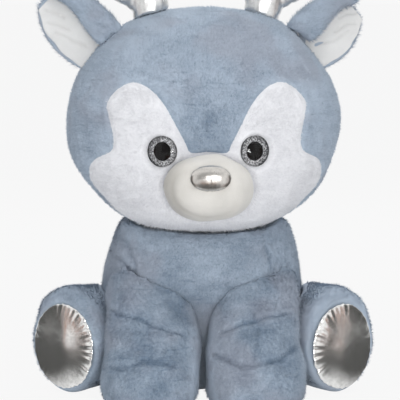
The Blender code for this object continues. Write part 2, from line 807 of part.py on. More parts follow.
def make_ear(side, head_hinge):
    """One ear: a plush back with its upper edge rolled forward over the ivory lining."""
    sign = SIDES[side]
    root = on_head(EAR_ROOT_SHARES, EAR_ROOT_Y)
    hinge = add_hinge(f"ear_hinge_{side}", (sign * root.x, root.y, root.z), head_hinge)
    lean = EAR_LEANS[side]
    swept = ear_matrix(lean) @ Matrix.Rotation(EAR_SWEEPS[side], 4, "X")
    low, high = EAR_SHARES[0][0], EAR_SHARES[-1][0]
    back = add_object(f"ear_{side}", mirrored(ear_sheet("ear", low, high, 0.0, back_covers), side), PLUSH, hinge)
    soften(thicken(placed(back, swept, side), EAR_THICKNESS))
    lift = (EAR_THICKNESS + EAR_LINING) / 2.0 + LINING_SEAT
    sheet = ear_sheet("ear_lining", LINING_START_SHARE, LINING_END_SHARE, lift, lining_covers)
    lining = add_object(f"ear_lining_{side}", mirrored(sheet, side), VELOUR, hinge)
    thicken(placed(lining, swept, side), EAR_LINING)
    axis = Vector((-math.cos(lean) * sign, 0.0, math.sin(lean)))
    swings = [-sign * swing for swing in EAR_CLEAR_DEGREES[side]]
    cut_in_swing(back, head_mesh(f"ear_root_cutter_{side}", SEAM_GAP), hinge, axis, swings)


def lobe_mesh(name, length, width, thickness):
    rings = []
    for at, half_width, half_thickness in LOBE_SHARES:
        rings.append(Ring(at * length, 0.0, 0.0, half_width * width, half_thickness * thickness))
    return swollen_mesh(name, rings, 0.0, length)


def lobe_matrix(place, lean):
    """The frame of an antler's lobe that leans out to the left."""
    along = Vector((math.sin(lean), 0.0, math.cos(lean)))
    across = Vector((math.cos(lean), 0.0, -math.sin(lean)))
    return frame_at(place, across, along.cross(across), along)


def make_antler(side, head_hinge):
    """One stuffed foil antler: an upright lobe with a shorter one out to the side."""
    root = on_head(ANTLER_ROOT_SHARES, ANTLER_ROOT_Y)
    root.x += SIDES[side] * ANTLER_SHIFT
    trunk = lobe_matrix(root, ANTLER_LEAN)
    mesh = lobe_mesh("antler", ANTLER_HEIGHT, ANTLER_WIDTH, ANTLER_THICKNESS)
    antler = soften(add_object(f"antler_{side}", mirrored(mesh, side), FOIL, head_hinge))
    placed(antler, trunk, side)
    fork = trunk @ Vector((0.0, 0.0, TINE_RISE))
    mesh = lobe_mesh("tine", TINE_LENGTH, TINE_WIDTH, ANTLER_THICKNESS * TINE_WIDTH / ANTLER_WIDTH)
    tine = soften(add_object(f"tine_guide_{side}", mirrored(mesh, side), None, head_hinge))
    placed(tine, lobe_matrix(fork, TINE_LEAN), side)
    combine(antler, tine, "UNION")
    crown = head_mesh(f"antler_root_cutter_{side}", SEAM_GAP)
    cut(antler, soften(add_object(f"antler_root_cutter_{side}", crown, None, head_hinge)))
    return antler


def make_front_leg(side, floor):
    """One front leg, which comes out from under the chest and swells into its paw."""
    sign = SIDES[side]
    hinge = add_hinge(f"front_leg_hinge_{side}", (sign * FRONT_LEG_X, FRONT_HINGE_Y, FRONT_HINGE_Z))
    rings = []
    for height, outward, forward, half_width, half_depth in FRONT_LEG_SHARES:
        middle_x = FRONT_LEG_X + outward * FRONT_LEG_WIDTH
        middle_y = FRONT_LEG_Y - forward * FRONT_LEG_DEPTH
        half_x, half_y = half_width * FRONT_LEG_WIDTH, half_depth * FRONT_LEG_DEPTH
        rings.append(Ring(height * FRONT_LEG_HEIGHT, middle_x, middle_y, half_x, half_y))
    mesh = swollen_mesh("front_leg", rings, rings[0].at, FRONT_LEG_HEIGHT, square=ROUND_SHARE)
    leg = soften(add_object(f"front_leg_{side}", mirrored(mesh, side), PLUSH, hinge))
    cut(leg, floor)
    body = torso_mesh(f"front_leg_body_cutter_{side}", SEAM_GAP)
    cut_in_swing(leg, body, hinge, (-1.0, 0.0, 0.0), FRONT_CLEAR_DEGREES)
    return leg


def hind_leg_matrix():
    """The left hind leg's frame: its Y is up and its Z runs from the hip out to the sole."""
    along = Vector((math.sin(HIND_SPLAY), -math.cos(HIND_SPLAY), 0.0))
    up = Vector((0.0, 0.0, 1.0))
    return frame_at((HIP_X, HIP_Y, 0.0), up.cross(along), up, along)


def make_hind_leg(side, floor):
    """One hind leg and the foil sole at its end."""
    sign = SIDES[side]
    hinge = add_hinge(f"hind_leg_hinge_{side}", (sign * HIND_HINGE_X, HIND_HINGE_Y, HIND_LEG_HEIGHT / 2.0))
    rings = []
    for at, half_width, half_height, rise in HIND_LEG_SHARES:
        half_x, half_y = half_width * HIND_LEG_WIDTH, half_height * HIND_LEG_HEIGHT
        middle = half_y + rise * HIND_LEG_HEIGHT - FLOOR_CUT
        rings.append(Ring(at * HIND_LEG_LENGTH, 0.0, middle, half_x, half_y))
    low, high = rings[0].at - HIP_ROUND, rings[-1].at
    mesh = swollen_mesh("hind_leg", rings, low, high)
    leg = soften(add_object(f"hind_leg_{side}", mirrored(mesh, side), PLUSH, hinge))
    placed(leg, hind_leg_matrix(), side)
    cut(leg, floor)
    name = f"hind_leg_body_cutter_{side}"
    cut(leg, soften(add_object(name, torso_mesh(name, SEAM_GAP))))
    seat = high - SOLE_SEAT
    middle = HIND_LEG_HEIGHT / 2.0 - SOLE_DROP
    half_x, half_y = SOLE_WIDTH / 2.0 + GAP, SOLE_HEIGHT / 2.0 + GAP
    recess = oval_mesh(f"sole_cutter_{side}", half_x, half_y, seat - GAP, seat + OVERRUN)
    recess.transform(Matrix.Translation((0.0, middle, 0.0)))
    cut(leg, placed(add_object(f"sole_cutter_{side}", recess, None, hinge), hind_leg_matrix(), side))
    rings = []
    for at, share in SOLE_SHARES:
        place = seat + (at + 0.5) * SOLE_THICKNESS
        rings.append(Ring(place, 0.0, middle, share * SOLE_WIDTH, share * SOLE_HEIGHT))
    mesh = swollen_mesh("foot_sole", rings, seat, seat + SOLE_THICKNESS, BODY_SEGMENTS)
    sole = soften(add_object(f"foot_sole_{side}", mesh, FOIL, hinge))
    placed(sole, hind_leg_matrix(), side)
    return leg


def make_tail():
    """The short tail at the back of the seat."""
    hinge = add_hinge("tail_hinge", (0.0, TAIL_Y + TAIL_TUCK, TAIL_Z))
    along = Vector((0.0, math.sin(TAIL_LEAN), math.cos(TAIL_LEAN)))
    across = Vector((1.0, 0.0, 0.0))
    rings = []
    for at, share in TAIL_SHARES:
        rings.append(Ring(at * TAIL_LENGTH, 0.0, 0.0, share * TAIL_WIDTH, share * TAIL_THICKNESS))
    mesh = swollen_mesh("tail", rings, 0.0, TAIL_LENGTH)
    tail = soften(add_object("tail", mesh, PLUSH, hinge))
    tail.matrix_basis = frame_at((0.0, TAIL_Y, TAIL_Z), across, along.cross(across), along)
    body = torso_mesh("tail_body_cutter", SEAM_GAP)
    cut_in_swing(tail, body, hinge, across, TAIL_CLEAR_DEGREES)
    return tail


def build():
    """Make every sub-part, then turn the head a little to its left, as it sits in the photograph."""
    floor = make_floor()
    neck_hinge = add_hinge("head_turn_axis", (0.0, NECK_AXIS_Y, NECK_PLANE_Z))
    head_hinge = add_hinge("head_nod_axis", (0.0, NECK_AXIS_Y, NOD_PIVOT_Z), neck_hinge)
    make_torso(floor, head_hinge)
    make_seat()
    make_pellet_bag()
    make_neck(neck_hinge)
    head = make_head(head_hinge)
    panel = make_face_panel(head_hinge)
    make_muzzle(head_hinge)
    make_nose(head_hinge)
    for side in SIDES:
        make_eye(side, head, panel, head_hinge)
        make_ear(side, head_hinge)
        make_antler(side, head_hinge)
        make_front_leg(side, floor)
        make_hind_leg(side, floor)
    make_tail()
    neck_hinge.rotation_euler.z = HEAD_TURN


clear_scene()
deer = make_collection("plush_deer")
cutters = make_collection("plush_deer_cutters")
build()
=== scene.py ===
"""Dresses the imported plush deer: stuffed forms, pile, foil, eyes and seams, in a pale studio."""

import logging
import math
from dataclasses import dataclass
from enum import Enum
from typing import Callable, ClassVar, Mapping, Optional, Sequence, Union

import bmesh
import bpy
import numpy as np
from mathutils import Matrix, Vector
from mathutils.bvhtree import BVHTree


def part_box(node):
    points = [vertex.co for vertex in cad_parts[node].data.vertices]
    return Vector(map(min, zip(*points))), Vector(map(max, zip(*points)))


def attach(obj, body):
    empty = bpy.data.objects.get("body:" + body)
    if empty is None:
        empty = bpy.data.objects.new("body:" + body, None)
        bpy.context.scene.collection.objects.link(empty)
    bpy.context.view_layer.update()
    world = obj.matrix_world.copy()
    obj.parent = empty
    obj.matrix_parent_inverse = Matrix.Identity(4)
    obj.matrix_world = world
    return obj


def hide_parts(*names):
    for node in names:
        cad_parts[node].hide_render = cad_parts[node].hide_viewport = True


Colour = tuple[float, float, float]
Place = tuple[float, float, float]
Array = np.ndarray
SurfaceRule = Callable[[Array, Array], Array]

LOG = logging.getLogger("plush_deer")
MM = 0.001
HEAD_TURN = math.radians(2.9)
HEAD_AXIS = Vector((0.0, -0.028, 0.0))
FACE_Y = -0.070


class Side(Enum):
    """The deer's own sides, with the sign of their X."""

    LEFT = 1.0
    RIGHT = -1.0

    @property
    def word(self) -> str:
        """The side's name as the nodes spell it."""
        return self.name.lower()

    @property
    def seed(self) -> int:
        """What the side adds to a seed."""
        return int(self.value)


# ---------------------------------------------------------------- shader expressions


@dataclass(frozen=True)
class Signal:
    """A socket that carries a value, used in Python expressions that add Math nodes."""

    graph: "Graph"
    socket: bpy.types.NodeSocket

    def _math(self, operation: str, first: "Term", second: "Term") -> "Signal":
        """The result of one Math node."""
        return self.graph.node("ShaderNodeMath", {"operation": operation}, {0: first, 1: second})

    def __add__(self, other: "Term") -> "Signal":
        """Sum."""
        return self._math("ADD", self, other)

    def __sub__(self, other: "Term") -> "Signal":
        """Difference."""
        return self._math("SUBTRACT", self, other)

    def __rsub__(self, other: float) -> "Signal":
        """Difference with a number on the left."""
        return self._math("SUBTRACT", other, self)

    def __mul__(self, other: "Term") -> "Signal":
        """Product."""
        return self._math("MULTIPLY", self, other)

    def clamped(self) -> "Signal":
        """The value kept between 0 and 1."""
        return self.graph.node("ShaderNodeClamp", {}, {"Value": self, "Min": 0.0, "Max": 1.0})

    def ramp(self, low: float, high: float) -> "Signal":
        """A smooth step from 0 at the low value to 1 at the high one."""
        inputs = {"Value": self, "From Min": low, "From Max": high}
        return self.graph.node("ShaderNodeMapRange", {"interpolation_type": "SMOOTHSTEP"}, inputs)


Term = Union[Signal, float]


@dataclass
class Graph:
    """The node tree of a material or of the world, with a single method that adds nodes."""

    tree: bpy.types.NodeTree

    @classmethod
    def cleared(cls, owner: Union[bpy.types.Material, bpy.types.World]) -> "Graph":
        """The emptied node tree of a material or of the world.

        Args:
            owner: the material or the world.

        Returns:
            Its graph.
        """
        owner.use_nodes = True
        owner.node_tree.nodes.clear()
        return cls(owner.node_tree)

    def _add(
        self,
        kind: str,
        settings: Optional[Mapping[str, object]],
        inputs: Optional[Mapping[Union[int, str], object]],
    ) -> bpy.types.Node:
        """Add a node, set it, then fill or link its sockets.

        Args:
            kind: the node's type.
            settings: its own settings.
            inputs: values or signals, by socket name or number.

        Returns:
            The node.
        """
        made = self.tree.nodes.new(kind)
        for key, value in (settings or {}).items():
            setattr(made, key, value)
        for key, value in (inputs or {}).items():
            socket = made.inputs[key]
            if isinstance(value, Signal):
                self.tree.links.new(value.socket, socket)
            elif isinstance(value, tuple) and len(value) == 3 and socket.type == "RGBA":
                socket.default_value = (*value, 1.0)
            else:
                socket.default_value = value
        return made

    def node(
        self,
        kind: str,
        settings: Optional[Mapping[str, object]] = None,
        inputs: Optional[Mapping[Union[int, str], object]] = None,
        output: Union[int, str] = 0,
    ) -> Signal:
        """One output, by name or number, of a new node."""
        return Signal(self, self._add(kind, settings, inputs).outputs[output])

    def close(self, shader: Signal, kind: str = "ShaderNodeOutputMaterial") -> None:
        """Link a shader to the tree's output."""
        self._add(kind, {}, {"Surface": shader})

    def place(self) -> Signal:
        """Object coordinates, which travel with the piece."""
        return self.node("ShaderNodeTexCoord", output="Object")

    def scaled(self, vector: Signal, factors: Place) -> Signal:
        """A vector with each part multiplied."""
        return self.node("ShaderNodeVectorMath", {"operation": "MULTIPLY"}, {0: vector, 1: factors})

    def noise(
        self, vector: Signal, scale: float, detail: float = 2.0, rough: float = 0.5
    ) -> Signal:
        """A noise pattern's value, about 0.5 in the middle, with so many repeats a metre."""
        inputs = {"Vector": vector, "Scale": scale, "Detail": detail, "Roughness": rough}
        return self.node("ShaderNodeTexNoise", {}, inputs)

    def mix(self, factor: Term, first: object, second: object) -> Signal:
        """Two colours mixed by a factor, 0 for the first and 1 for the second."""
        inputs = {0: factor, 6: first, 7: second}
        return self.node("ShaderNodeMix", {"data_type": "RGBA"}, inputs, 2)

    def tone(self) -> Signal:
        """The tone kept on the mesh, which carries painted light and shade: lower, as painted
        shade, in creases and at the roots of the pile.
        """
        return self.node("ShaderNodeAttribute", {"attribute_name": "tone"}, output="Fac")

    def bump(self, height: Signal, strength: float, distance: float) -> Signal:
        """The normal of a height from 0 to 1, where 1 stands for a distance in metres."""
        inputs = {"Height": height, "Strength": strength, "Distance": distance}
        return self.node("ShaderNodeBump", {}, inputs)

    def shader(self, inputs: Mapping[str, object]) -> Signal:
        """A Principled shader."""
        return self.node("ShaderNodeBsdfPrincipled", {}, inputs)

    def mix_shaders(self, factor: Term, first: Signal, second: Signal) -> Signal:
        """Two shaders mixed by a factor, 0 for the first and 1 for the second."""
        return self.node("ShaderNodeMixShader", {}, {0: factor, 1: first, 2: second})


@dataclass(frozen=True)
class Finish:
    """A finish, which makes its material once and hands it out again."""

    name: str
    made: ClassVar[dict[str, bpy.types.Material]] = {}

    def build(self, graph: Graph) -> Signal:
        """The finish's shader."""
        raise NotImplementedError

    def material(self) -> bpy.types.Material:
        """The material, made when first asked for.

        Returns:
            The material.
        """
        if self.name not in Finish.made:
            material = bpy.data.materials.new(self.name)
            graph = Graph.cleared(material)
            graph.close(self.build(graph))
            Finish.made[self.name] = material
        return Finish.made[self.name]


@dataclass(frozen=True)
class PlushFinish(Finish):
    """Soft short pile whose lie shows as light and dark patches, painted into its colour as painted
    light and shade.
    """

    deep: Colour
    light: Colour
    patch_scale: float = 24.0
    sheen: float = 0.25
    sheen_tint: Colour = (0.85, 0.92, 1.0)
    dust: float = 0.42
    # How dark the painted shade along thin wrinkle lines is.
    wrinkles: float = 0.16
    dust_colour: Colour = (0.345, 0.350, 0.405)
    grain_scale: float = 420.0
    stroke_scales: Place = (34.0, 34.0, 95.0)
    line_scales: Place = (38.0, 38.0, 300.0)

    def build(self, graph: Graph) -> Signal:
        """Pile colour from the tone on the mesh, which carries painted light and shade, with
        patches of painted light and shade, strokes and fine grain.

        Args:
            graph: the material's tree.

        Returns:
            The shader.
        """
        place = graph.place()
        patches = graph.noise(place, self.patch_scale, 3.0, 0.6)
        grain = graph.noise(place, self.grain_scale, 2.0, 0.6)
        strokes = graph.noise(graph.scaled(place, self.stroke_scales), 1.0)
        lines = graph.noise(graph.scaled(place, self.line_scales), 1.0).ramp(0.60, 0.72)
        # Painted light and shade: the tone, and light and dark patches that stand for the pile's
        # lie.
        level = graph.tone() * 0.80 + (patches - 0.5) + (strokes - 0.5) * 0.55
        # Painted shade along wrinkle lines is taken off the level.
        level = level + (grain - 0.5) * 0.60 - lines * self.wrinkles
        colour = graph.mix(level.clamped(), self.deep, self.light)
        dusty = graph.noise(place, self.patch_scale * 0.8).ramp(0.46, 0.66) * self.dust
        inputs = {
            "Base Color": graph.mix(dusty, colour, self.dust_colour),
            "Roughness": 0.92,
            "Specular IOR Level": 0.15,
            "Sheen Weight": self.sheen,
            "Sheen Roughness": 0.6,
            "Sheen Tint": self.sheen_tint,
            "Normal": graph.bump(grain, 0.22, 0.0010),
        }
        return graph.shader(inputs)


@dataclass(frozen=True)
class VelourFinish(Finish):
    """Very short velour pile, nearly smooth."""

    deep: Colour
    light: Colour
    patch_scale: float = 38.0
    nap_scale: float = 1500.0
    wrinkle_scales: Place = (60.0, 60.0, 150.0)

    def build(self, graph: Graph) -> Signal:
        """Ivory pile with soft patches and a fine nap.

        Args:
            graph: the material's tree.

        Returns:
            The shader.
        """
        place = graph.place()
        patches = graph.noise(place, self.patch_scale, 3.0)
        nap = graph.noise(place, self.nap_scale, 2.0, 0.7)
        wrinkle = graph.noise(graph.scaled(place, self.wrinkle_scales), 1.0)
        level = graph.tone() * 0.8 + (patches - 0.5) * 0.5 + (nap - 0.5) * 0.3
        inputs = {
            "Base Color": graph.mix(level.clamped(), self.deep, self.light),
            "Roughness": 0.88,
            "Specular IOR Level": 0.2,
            "Sheen Weight": 0.3,
            "Sheen Roughness": 0.5,
            "Normal": graph.bump(nap * 0.15 + wrinkle * 0.85, 0.5, 0.0009),
        }
        return graph.shader(inputs)


@dataclass(frozen=True)
class FoilFinish(Finish):
    """Metallic foil cloth with soft wrinkles and a fine backing weave."""

    tint: Colour
    roughness: float
    wrinkle: float
    fold_scales: Place = (46.0, 46.0, 46.0)
    weave_scale: float = 1300.0
    wear_scale: float = 260.0

    def build(self, graph: Graph) -> Signal:
        """Foil with wrinkles, a weave that prints through, and worn duller specks.

        Args:
            graph: the material's tree.

        Returns:
            The shader.
        """
        place = graph.place()
        folds = graph.noise(graph.scaled(place, self.fold_scales), 1.0, 1.5, 0.45)
        weave = graph.noise(place, self.weave_scale, 1.0)
        wear = graph.noise(place, self.wear_scale, 3.0, 0.7)
        worn = tuple(channel * 0.80 for channel in self.tint)
        inputs = {
            "Base Color": graph.mix(wear.ramp(0.35, 0.75), self.tint, worn),
            "Metallic": 0.96,
            "Roughness": ((wear - 0.5) * 0.12 + self.roughness).clamped(),
            "Normal": graph.bump(folds * 0.85 + weave * 0.02, self.wrinkle, 0.004),
        }
        return graph.shader(inputs)


@dataclass(frozen=True)
class GlitterFinish(Finish):
    """Glitter film in an eye's ring, darker at its outer edge with painted shade."""

    centre: Place
    inner: float
    outer: float
    flake_scale: float = 1150.0
    dull: Colour = (0.15, 0.15, 0.16)
    bright: Colour = (0.98, 0.98, 1.0)
    rim: Colour = (0.03, 0.03, 0.035)

    def build(self, graph: Graph) -> Signal:
        """Flakes of unlike brightness, partly painted glints, with dark bands of painted shade
        inside and outside.

        Args:
            graph: the material's tree.

        Returns:
            The shader.
        """
        place = graph.place()
        cells = {"Vector": place, "Scale": self.flake_scale}
        flake = graph.node("ShaderNodeTexVoronoi", {"feature": "F1"}, cells, "Color")
        shine = graph.node("ShaderNodeSeparateColor", {}, {"Color": flake}, "Red")
        ends = {0: place, 1: self.centre}
        away = graph.node("ShaderNodeVectorMath", {"operation": "DISTANCE"}, ends, "Value")
        # Painted shade at the outer edge and next to the pupil.
        rim = away.ramp(self.outer * 0.94, self.outer * 0.99) * 0.45
        pit = 1.0 - away.ramp(self.inner, self.inner * 1.10)
        # The flakes differ in themselves, and their brightness also stands for painted glints.
        colour = graph.mix(shine.ramp(0.20, 0.85), self.dull, self.bright)
        inputs = {
            "Base Color": graph.mix((rim + pit).clamped(), colour, self.rim),
            "Metallic": 0.30,
            "Roughness": 0.42,
            "Normal": graph.bump(shine, 0.5, 0.0004),
        }
        return graph.shader(inputs)


@dataclass(frozen=True)
class PlasticFinish(Finish):
    """Moulded plastic with faint flow marks."""

    colour: Colour
    roughness: float
    gloss: float = 0.5
    mottle_scale: float = 320.0

    def build(self, graph: Graph) -> Signal:
        """Plain moulded colour with a hint of mottling.

        Args:
            graph: the material's tree.

        Returns:
            The shader.
        """
        darker = tuple(channel * 0.85 for channel in self.colour)
        inputs = {
            "Base Color": graph.mix(
                graph.noise(graph.place(), self.mottle_scale), self.colour, darker
            ),
            "Roughness": self.roughness,
            "Specular IOR Level": self.gloss,
        }
        return graph.shader(inputs)


@dataclass(frozen=True)
class ClearFinish(Finish):
    """Clear domed plastic: see-through, with reflections that grow at its edge."""

    gloss: Colour = (0.56, 0.57, 0.58)
    roughness: float = 0.10
    bending: float = 1.46

    def build(self, graph: Graph) -> Signal:
        """A clear body mixed with gloss by the angle of view.

        Args:
            graph: the material's tree.

        Returns:
            The shader.
        """
        inputs = {"Base Color": self.gloss, "Metallic": 1.0, "Roughness": self.roughness}
        clear = graph.node("ShaderNodeBsdfTransparent")
        edge = graph.node("ShaderNodeFresnel", {}, {"IOR": self.bending})
        return graph.mix_shaders(edge, clear, graph.shader(inputs))


@dataclass(frozen=True)
class WeaveFinish(Finish):
    """Plain woven cotton or packed fibre."""

    deep: Colour
    light: Colour
    threads: float = 900.0
    dye_scale: float = 60.0

    def build(self, graph: Graph) -> Signal:
        """Crossed threads with uneven dye.

        Args:
            graph: the material's tree.

        Returns:
            The shader.
        """
        place = graph.place()
        waves = {"Vector": place, "Scale": self.threads, "Distortion": 0.6}
        warp, weft = (
            graph.node("ShaderNodeTexWave", {"bands_direction": way}, waves, "Fac") for way in "XY"
        )
        cloth = warp * weft
        level = cloth * 0.5 + graph.noise(place, self.dye_scale, 3.0) * 0.6
        inputs = {
            "Base Color": graph.mix(level.clamped(), self.deep, self.light),
            "Roughness": 0.9,
            "Specular IOR Level": 0.2,
            "Normal": graph.bump(cloth, 0.5, 0.0004),
        }
        return graph.shader(inputs)


@dataclass(frozen=True)
class FloorFinish(Finish):
    """Pale floor that keeps a faint shadow and blends with the background."""

    backdrop: Colour
    cloth: Colour = (0.90, 0.90, 0.90)
    camera_share: float = 0.97
    mirror_share: float = 0.7

    def build(self, graph: Graph) -> Signal:
        """Matt floor, mostly replaced by the plain background colour.

        Args:
            graph: the material's tree.

        Returns:
            The shader.
        """
        lit = graph.node("ShaderNodeBsdfDiffuse", {}, {"Color": self.cloth})
        glow = graph.node("ShaderNodeEmission", {}, {"Color": self.backdrop, "Strength": 1.0})
        seen = graph.node("ShaderNodeLightPath", output="Is Camera Ray") * self.camera_share
        glossy = graph.node("ShaderNodeLightPath", output="Is Glossy Ray") * self.mirror_share
        through = graph.node("ShaderNodeLightPath", output="Is Transmission Ray")
        rays = (seen + glossy + through * self.mirror_share).clamped()
        return graph.mix_shaders(rays, lit, glow)


@dataclass(frozen=True)
class CardFinish(Finish):
    """A plain glow that fades out at a card's edges."""

    colour: Colour
    size: tuple[float, float]
    fade: float

    def inside(self, graph: Graph, axis: str, length: float) -> Signal:
        """How far inside the card a place is along one axis, from 0 to 1."""
        off = graph.node("ShaderNodeSeparateXYZ", {}, {0: graph.place()}, axis)
        return (1.0 - off * off * 4.0).ramp(0.0, 4.0 * self.fade / length)

    def build(self, graph: Graph) -> Signal:
        """The card's colour, clear at its edges.

        Args:
            graph: the material's tree.

        Returns:
            The shader.
        """
        glow = graph.node("ShaderNodeEmission", {}, {"Color": self.colour, "Strength": 1.0})
        clear = graph.node("ShaderNodeBsdfTransparent")
        inside = self.inside(graph, "X", self.size[0]) * self.inside(graph, "Y", self.size[1])
        return graph.mix_shaders(inside, clear, glow)


BLUE_PLUSH = PlushFinish("blue_plush", (0.130, 0.187, 0.262), (0.455, 0.530, 0.622))
WHITE_PLUSH = PlushFinish(
    "white_plush",
    (0.58, 0.58, 0.61),
    (0.88, 0.88, 0.90),
    patch_scale=30.0,
    sheen=0.12,
    sheen_tint=(1.0, 1.0, 1.0),
    dust=0.0,
    # Faint painted shade along wrinkle lines on the white pile.
    wrinkles=0.05,
)
IVORY_VELOUR = VelourFinish("ivory_velour", (0.44, 0.415, 0.375), (0.84, 0.812, 0.762))
LINING_VELOUR = VelourFinish("lining_velour", (0.50, 0.495, 0.48), (0.80, 0.795, 0.785))
SILVER_FOIL = FoilFinish("silver_foil", (0.86, 0.86, 0.85), 0.34, 0.45, (105.0, 105.0, 30.0))
NOSE_FOIL = FoilFinish("nose_foil", (0.70, 0.675, 0.64), 0.29, 0.03)
SOLE_FOIL = FoilFinish("sole_foil", (0.95, 0.945, 0.93), 0.23, 0.16)
SEAT_COTTON = WeaveFinish("seat_cotton", (0.10, 0.13, 0.18), (0.30, 0.37, 0.47))
BAG_COTTON = WeaveFinish("bag_cotton", (0.45, 0.44, 0.42), (0.75, 0.74, 0.70))
STUFFING = WeaveFinish("packed_fibre", (0.62, 0.62, 0.60), (0.88, 0.88, 0.86), 240.0)
BLACK_PLASTIC = PlasticFinish("black_plastic", (0.006, 0.005, 0.005), 0.30, 0.04)
WASHER_PLASTIC = PlasticFinish("washer_plastic", (0.80, 0.80, 0.78), 0.45)
CLEAR_DOME = ClearFinish("clear_dome")


# ---------------------------------------------------------------- meshes as arrays


def step(values: Array, start: float, run: float) -> Array:
    """0 up to a start, then rising to 1 over a run."""
    return np.clip((values - start) / run, 0.0, 1.0)


def fall(values: Array, end: float, run: float) -> Array:
    """1 up to a run before an end, then falling to 0 at it."""
    return np.clip((end - values) / run, 0.0, 1.0)


def bell(values: Array, width: float) -> Array:
    """1 at zero, fading out over a width."""
    return np.exp(-((values / width) ** 2))


def unit(rows: Array, least: float = 1e-9) -> Array:
    """Vectors made one long, unless they are shorter than a least length."""
    return rows / np.maximum(np.linalg.norm(rows, axis=1, keepdims=True), least)


def along_surface(rows: Array, normals: Array) -> Array:
    """Vectors without their part along the normals."""
    return rows - normals * np.sum(rows * normals, axis=1, keepdims=True)


def away_from_line(across: Array, up: Array, start: Array, end: Array) -> Array:
    """How far places are from a straight stretch.

    Args:
        across: places across.
        up: places up.
        start: where the stretch starts.
        end: where it ends.

    Returns:
        The distances.
    """
    run = end - start
    share = (across - start[0]) * run[0] + (up - start[1]) * run[1]
    share = np.clip(share / max(float(run @ run), 1e-12), 0.0, 1.0)
    return np.hypot(across - start[0] - share * run[0], up - start[1] - share * run[1])


def smooth_noise(places: Array, scale: float, seed: int, waves: int = 9) -> Array:
    """Soft noise from a few random waves, the same each run.

    Args:
        places: points, in metres.
        scale: waves per metre.
        seed: which noise.
        waves: how many waves it sums.

    Returns:
        Values, mostly between -1 and 1.
    """
    chance = np.random.default_rng(seed)
    total = np.zeros(len(places))
    for _ in range(waves):
        direction = chance.normal(size=3)
        direction *= scale * chance.uniform(0.6, 1.5) / np.linalg.norm(direction)
        total += np.sin(places @ direction * math.tau + chance.uniform(0.0, math.tau))
    return total / math.sqrt(waves)


def add_object(
    name: str, mesh: bpy.types.Mesh, finish: Optional[Finish] = None
) -> bpy.types.Object:
    """Place a mesh in the scene.

    Args:
        name: the object's name.
        mesh: its mesh.
        finish: its finish.

    Returns:
        The object.
    """
    if finish is not None:
        mesh.materials.append(finish.material())
    made = bpy.data.objects.new(name, mesh)
    bpy.context.scene.collection.objects.link(made)
    return made


def write_tone(mesh: bpy.types.Mesh, tone: Array) -> None:
    """Keep a tone on each of a mesh's points."""
    layer = mesh.attributes.new("tone", "FLOAT", "POINT")
    layer.data.foreach_set("value", tone.astype(np.float32))


def surface_tree(places: Array, faces: Sequence[Sequence[int]]) -> BVHTree:
    """A search tree of a surface."""
    return BVHTree.FromPolygons([Vector(place) for place in places], faces)


@dataclass(frozen=True)
class Crease:
    """A crease or seam seen from one side, as points across and up in millimetres."""

    points: Sequence[tuple[float, float]]
    depth: float
    width: float
    shade: float

    def nearness(self, across: Array, up: Array) -> Array:
        """How near each place is to the crease.

        Args:
            across: places across, in metres.
            up: places up, in metres.

        Returns:
            1 on the crease, falling to 0 over its width.
        """
        points = np.array(self.points) * MM
        away = [away_from_line(across, up, *ends) for ends in zip(points, points[1:])]
        return bell(np.min(away, axis=0), self.width * MM / 2.0)


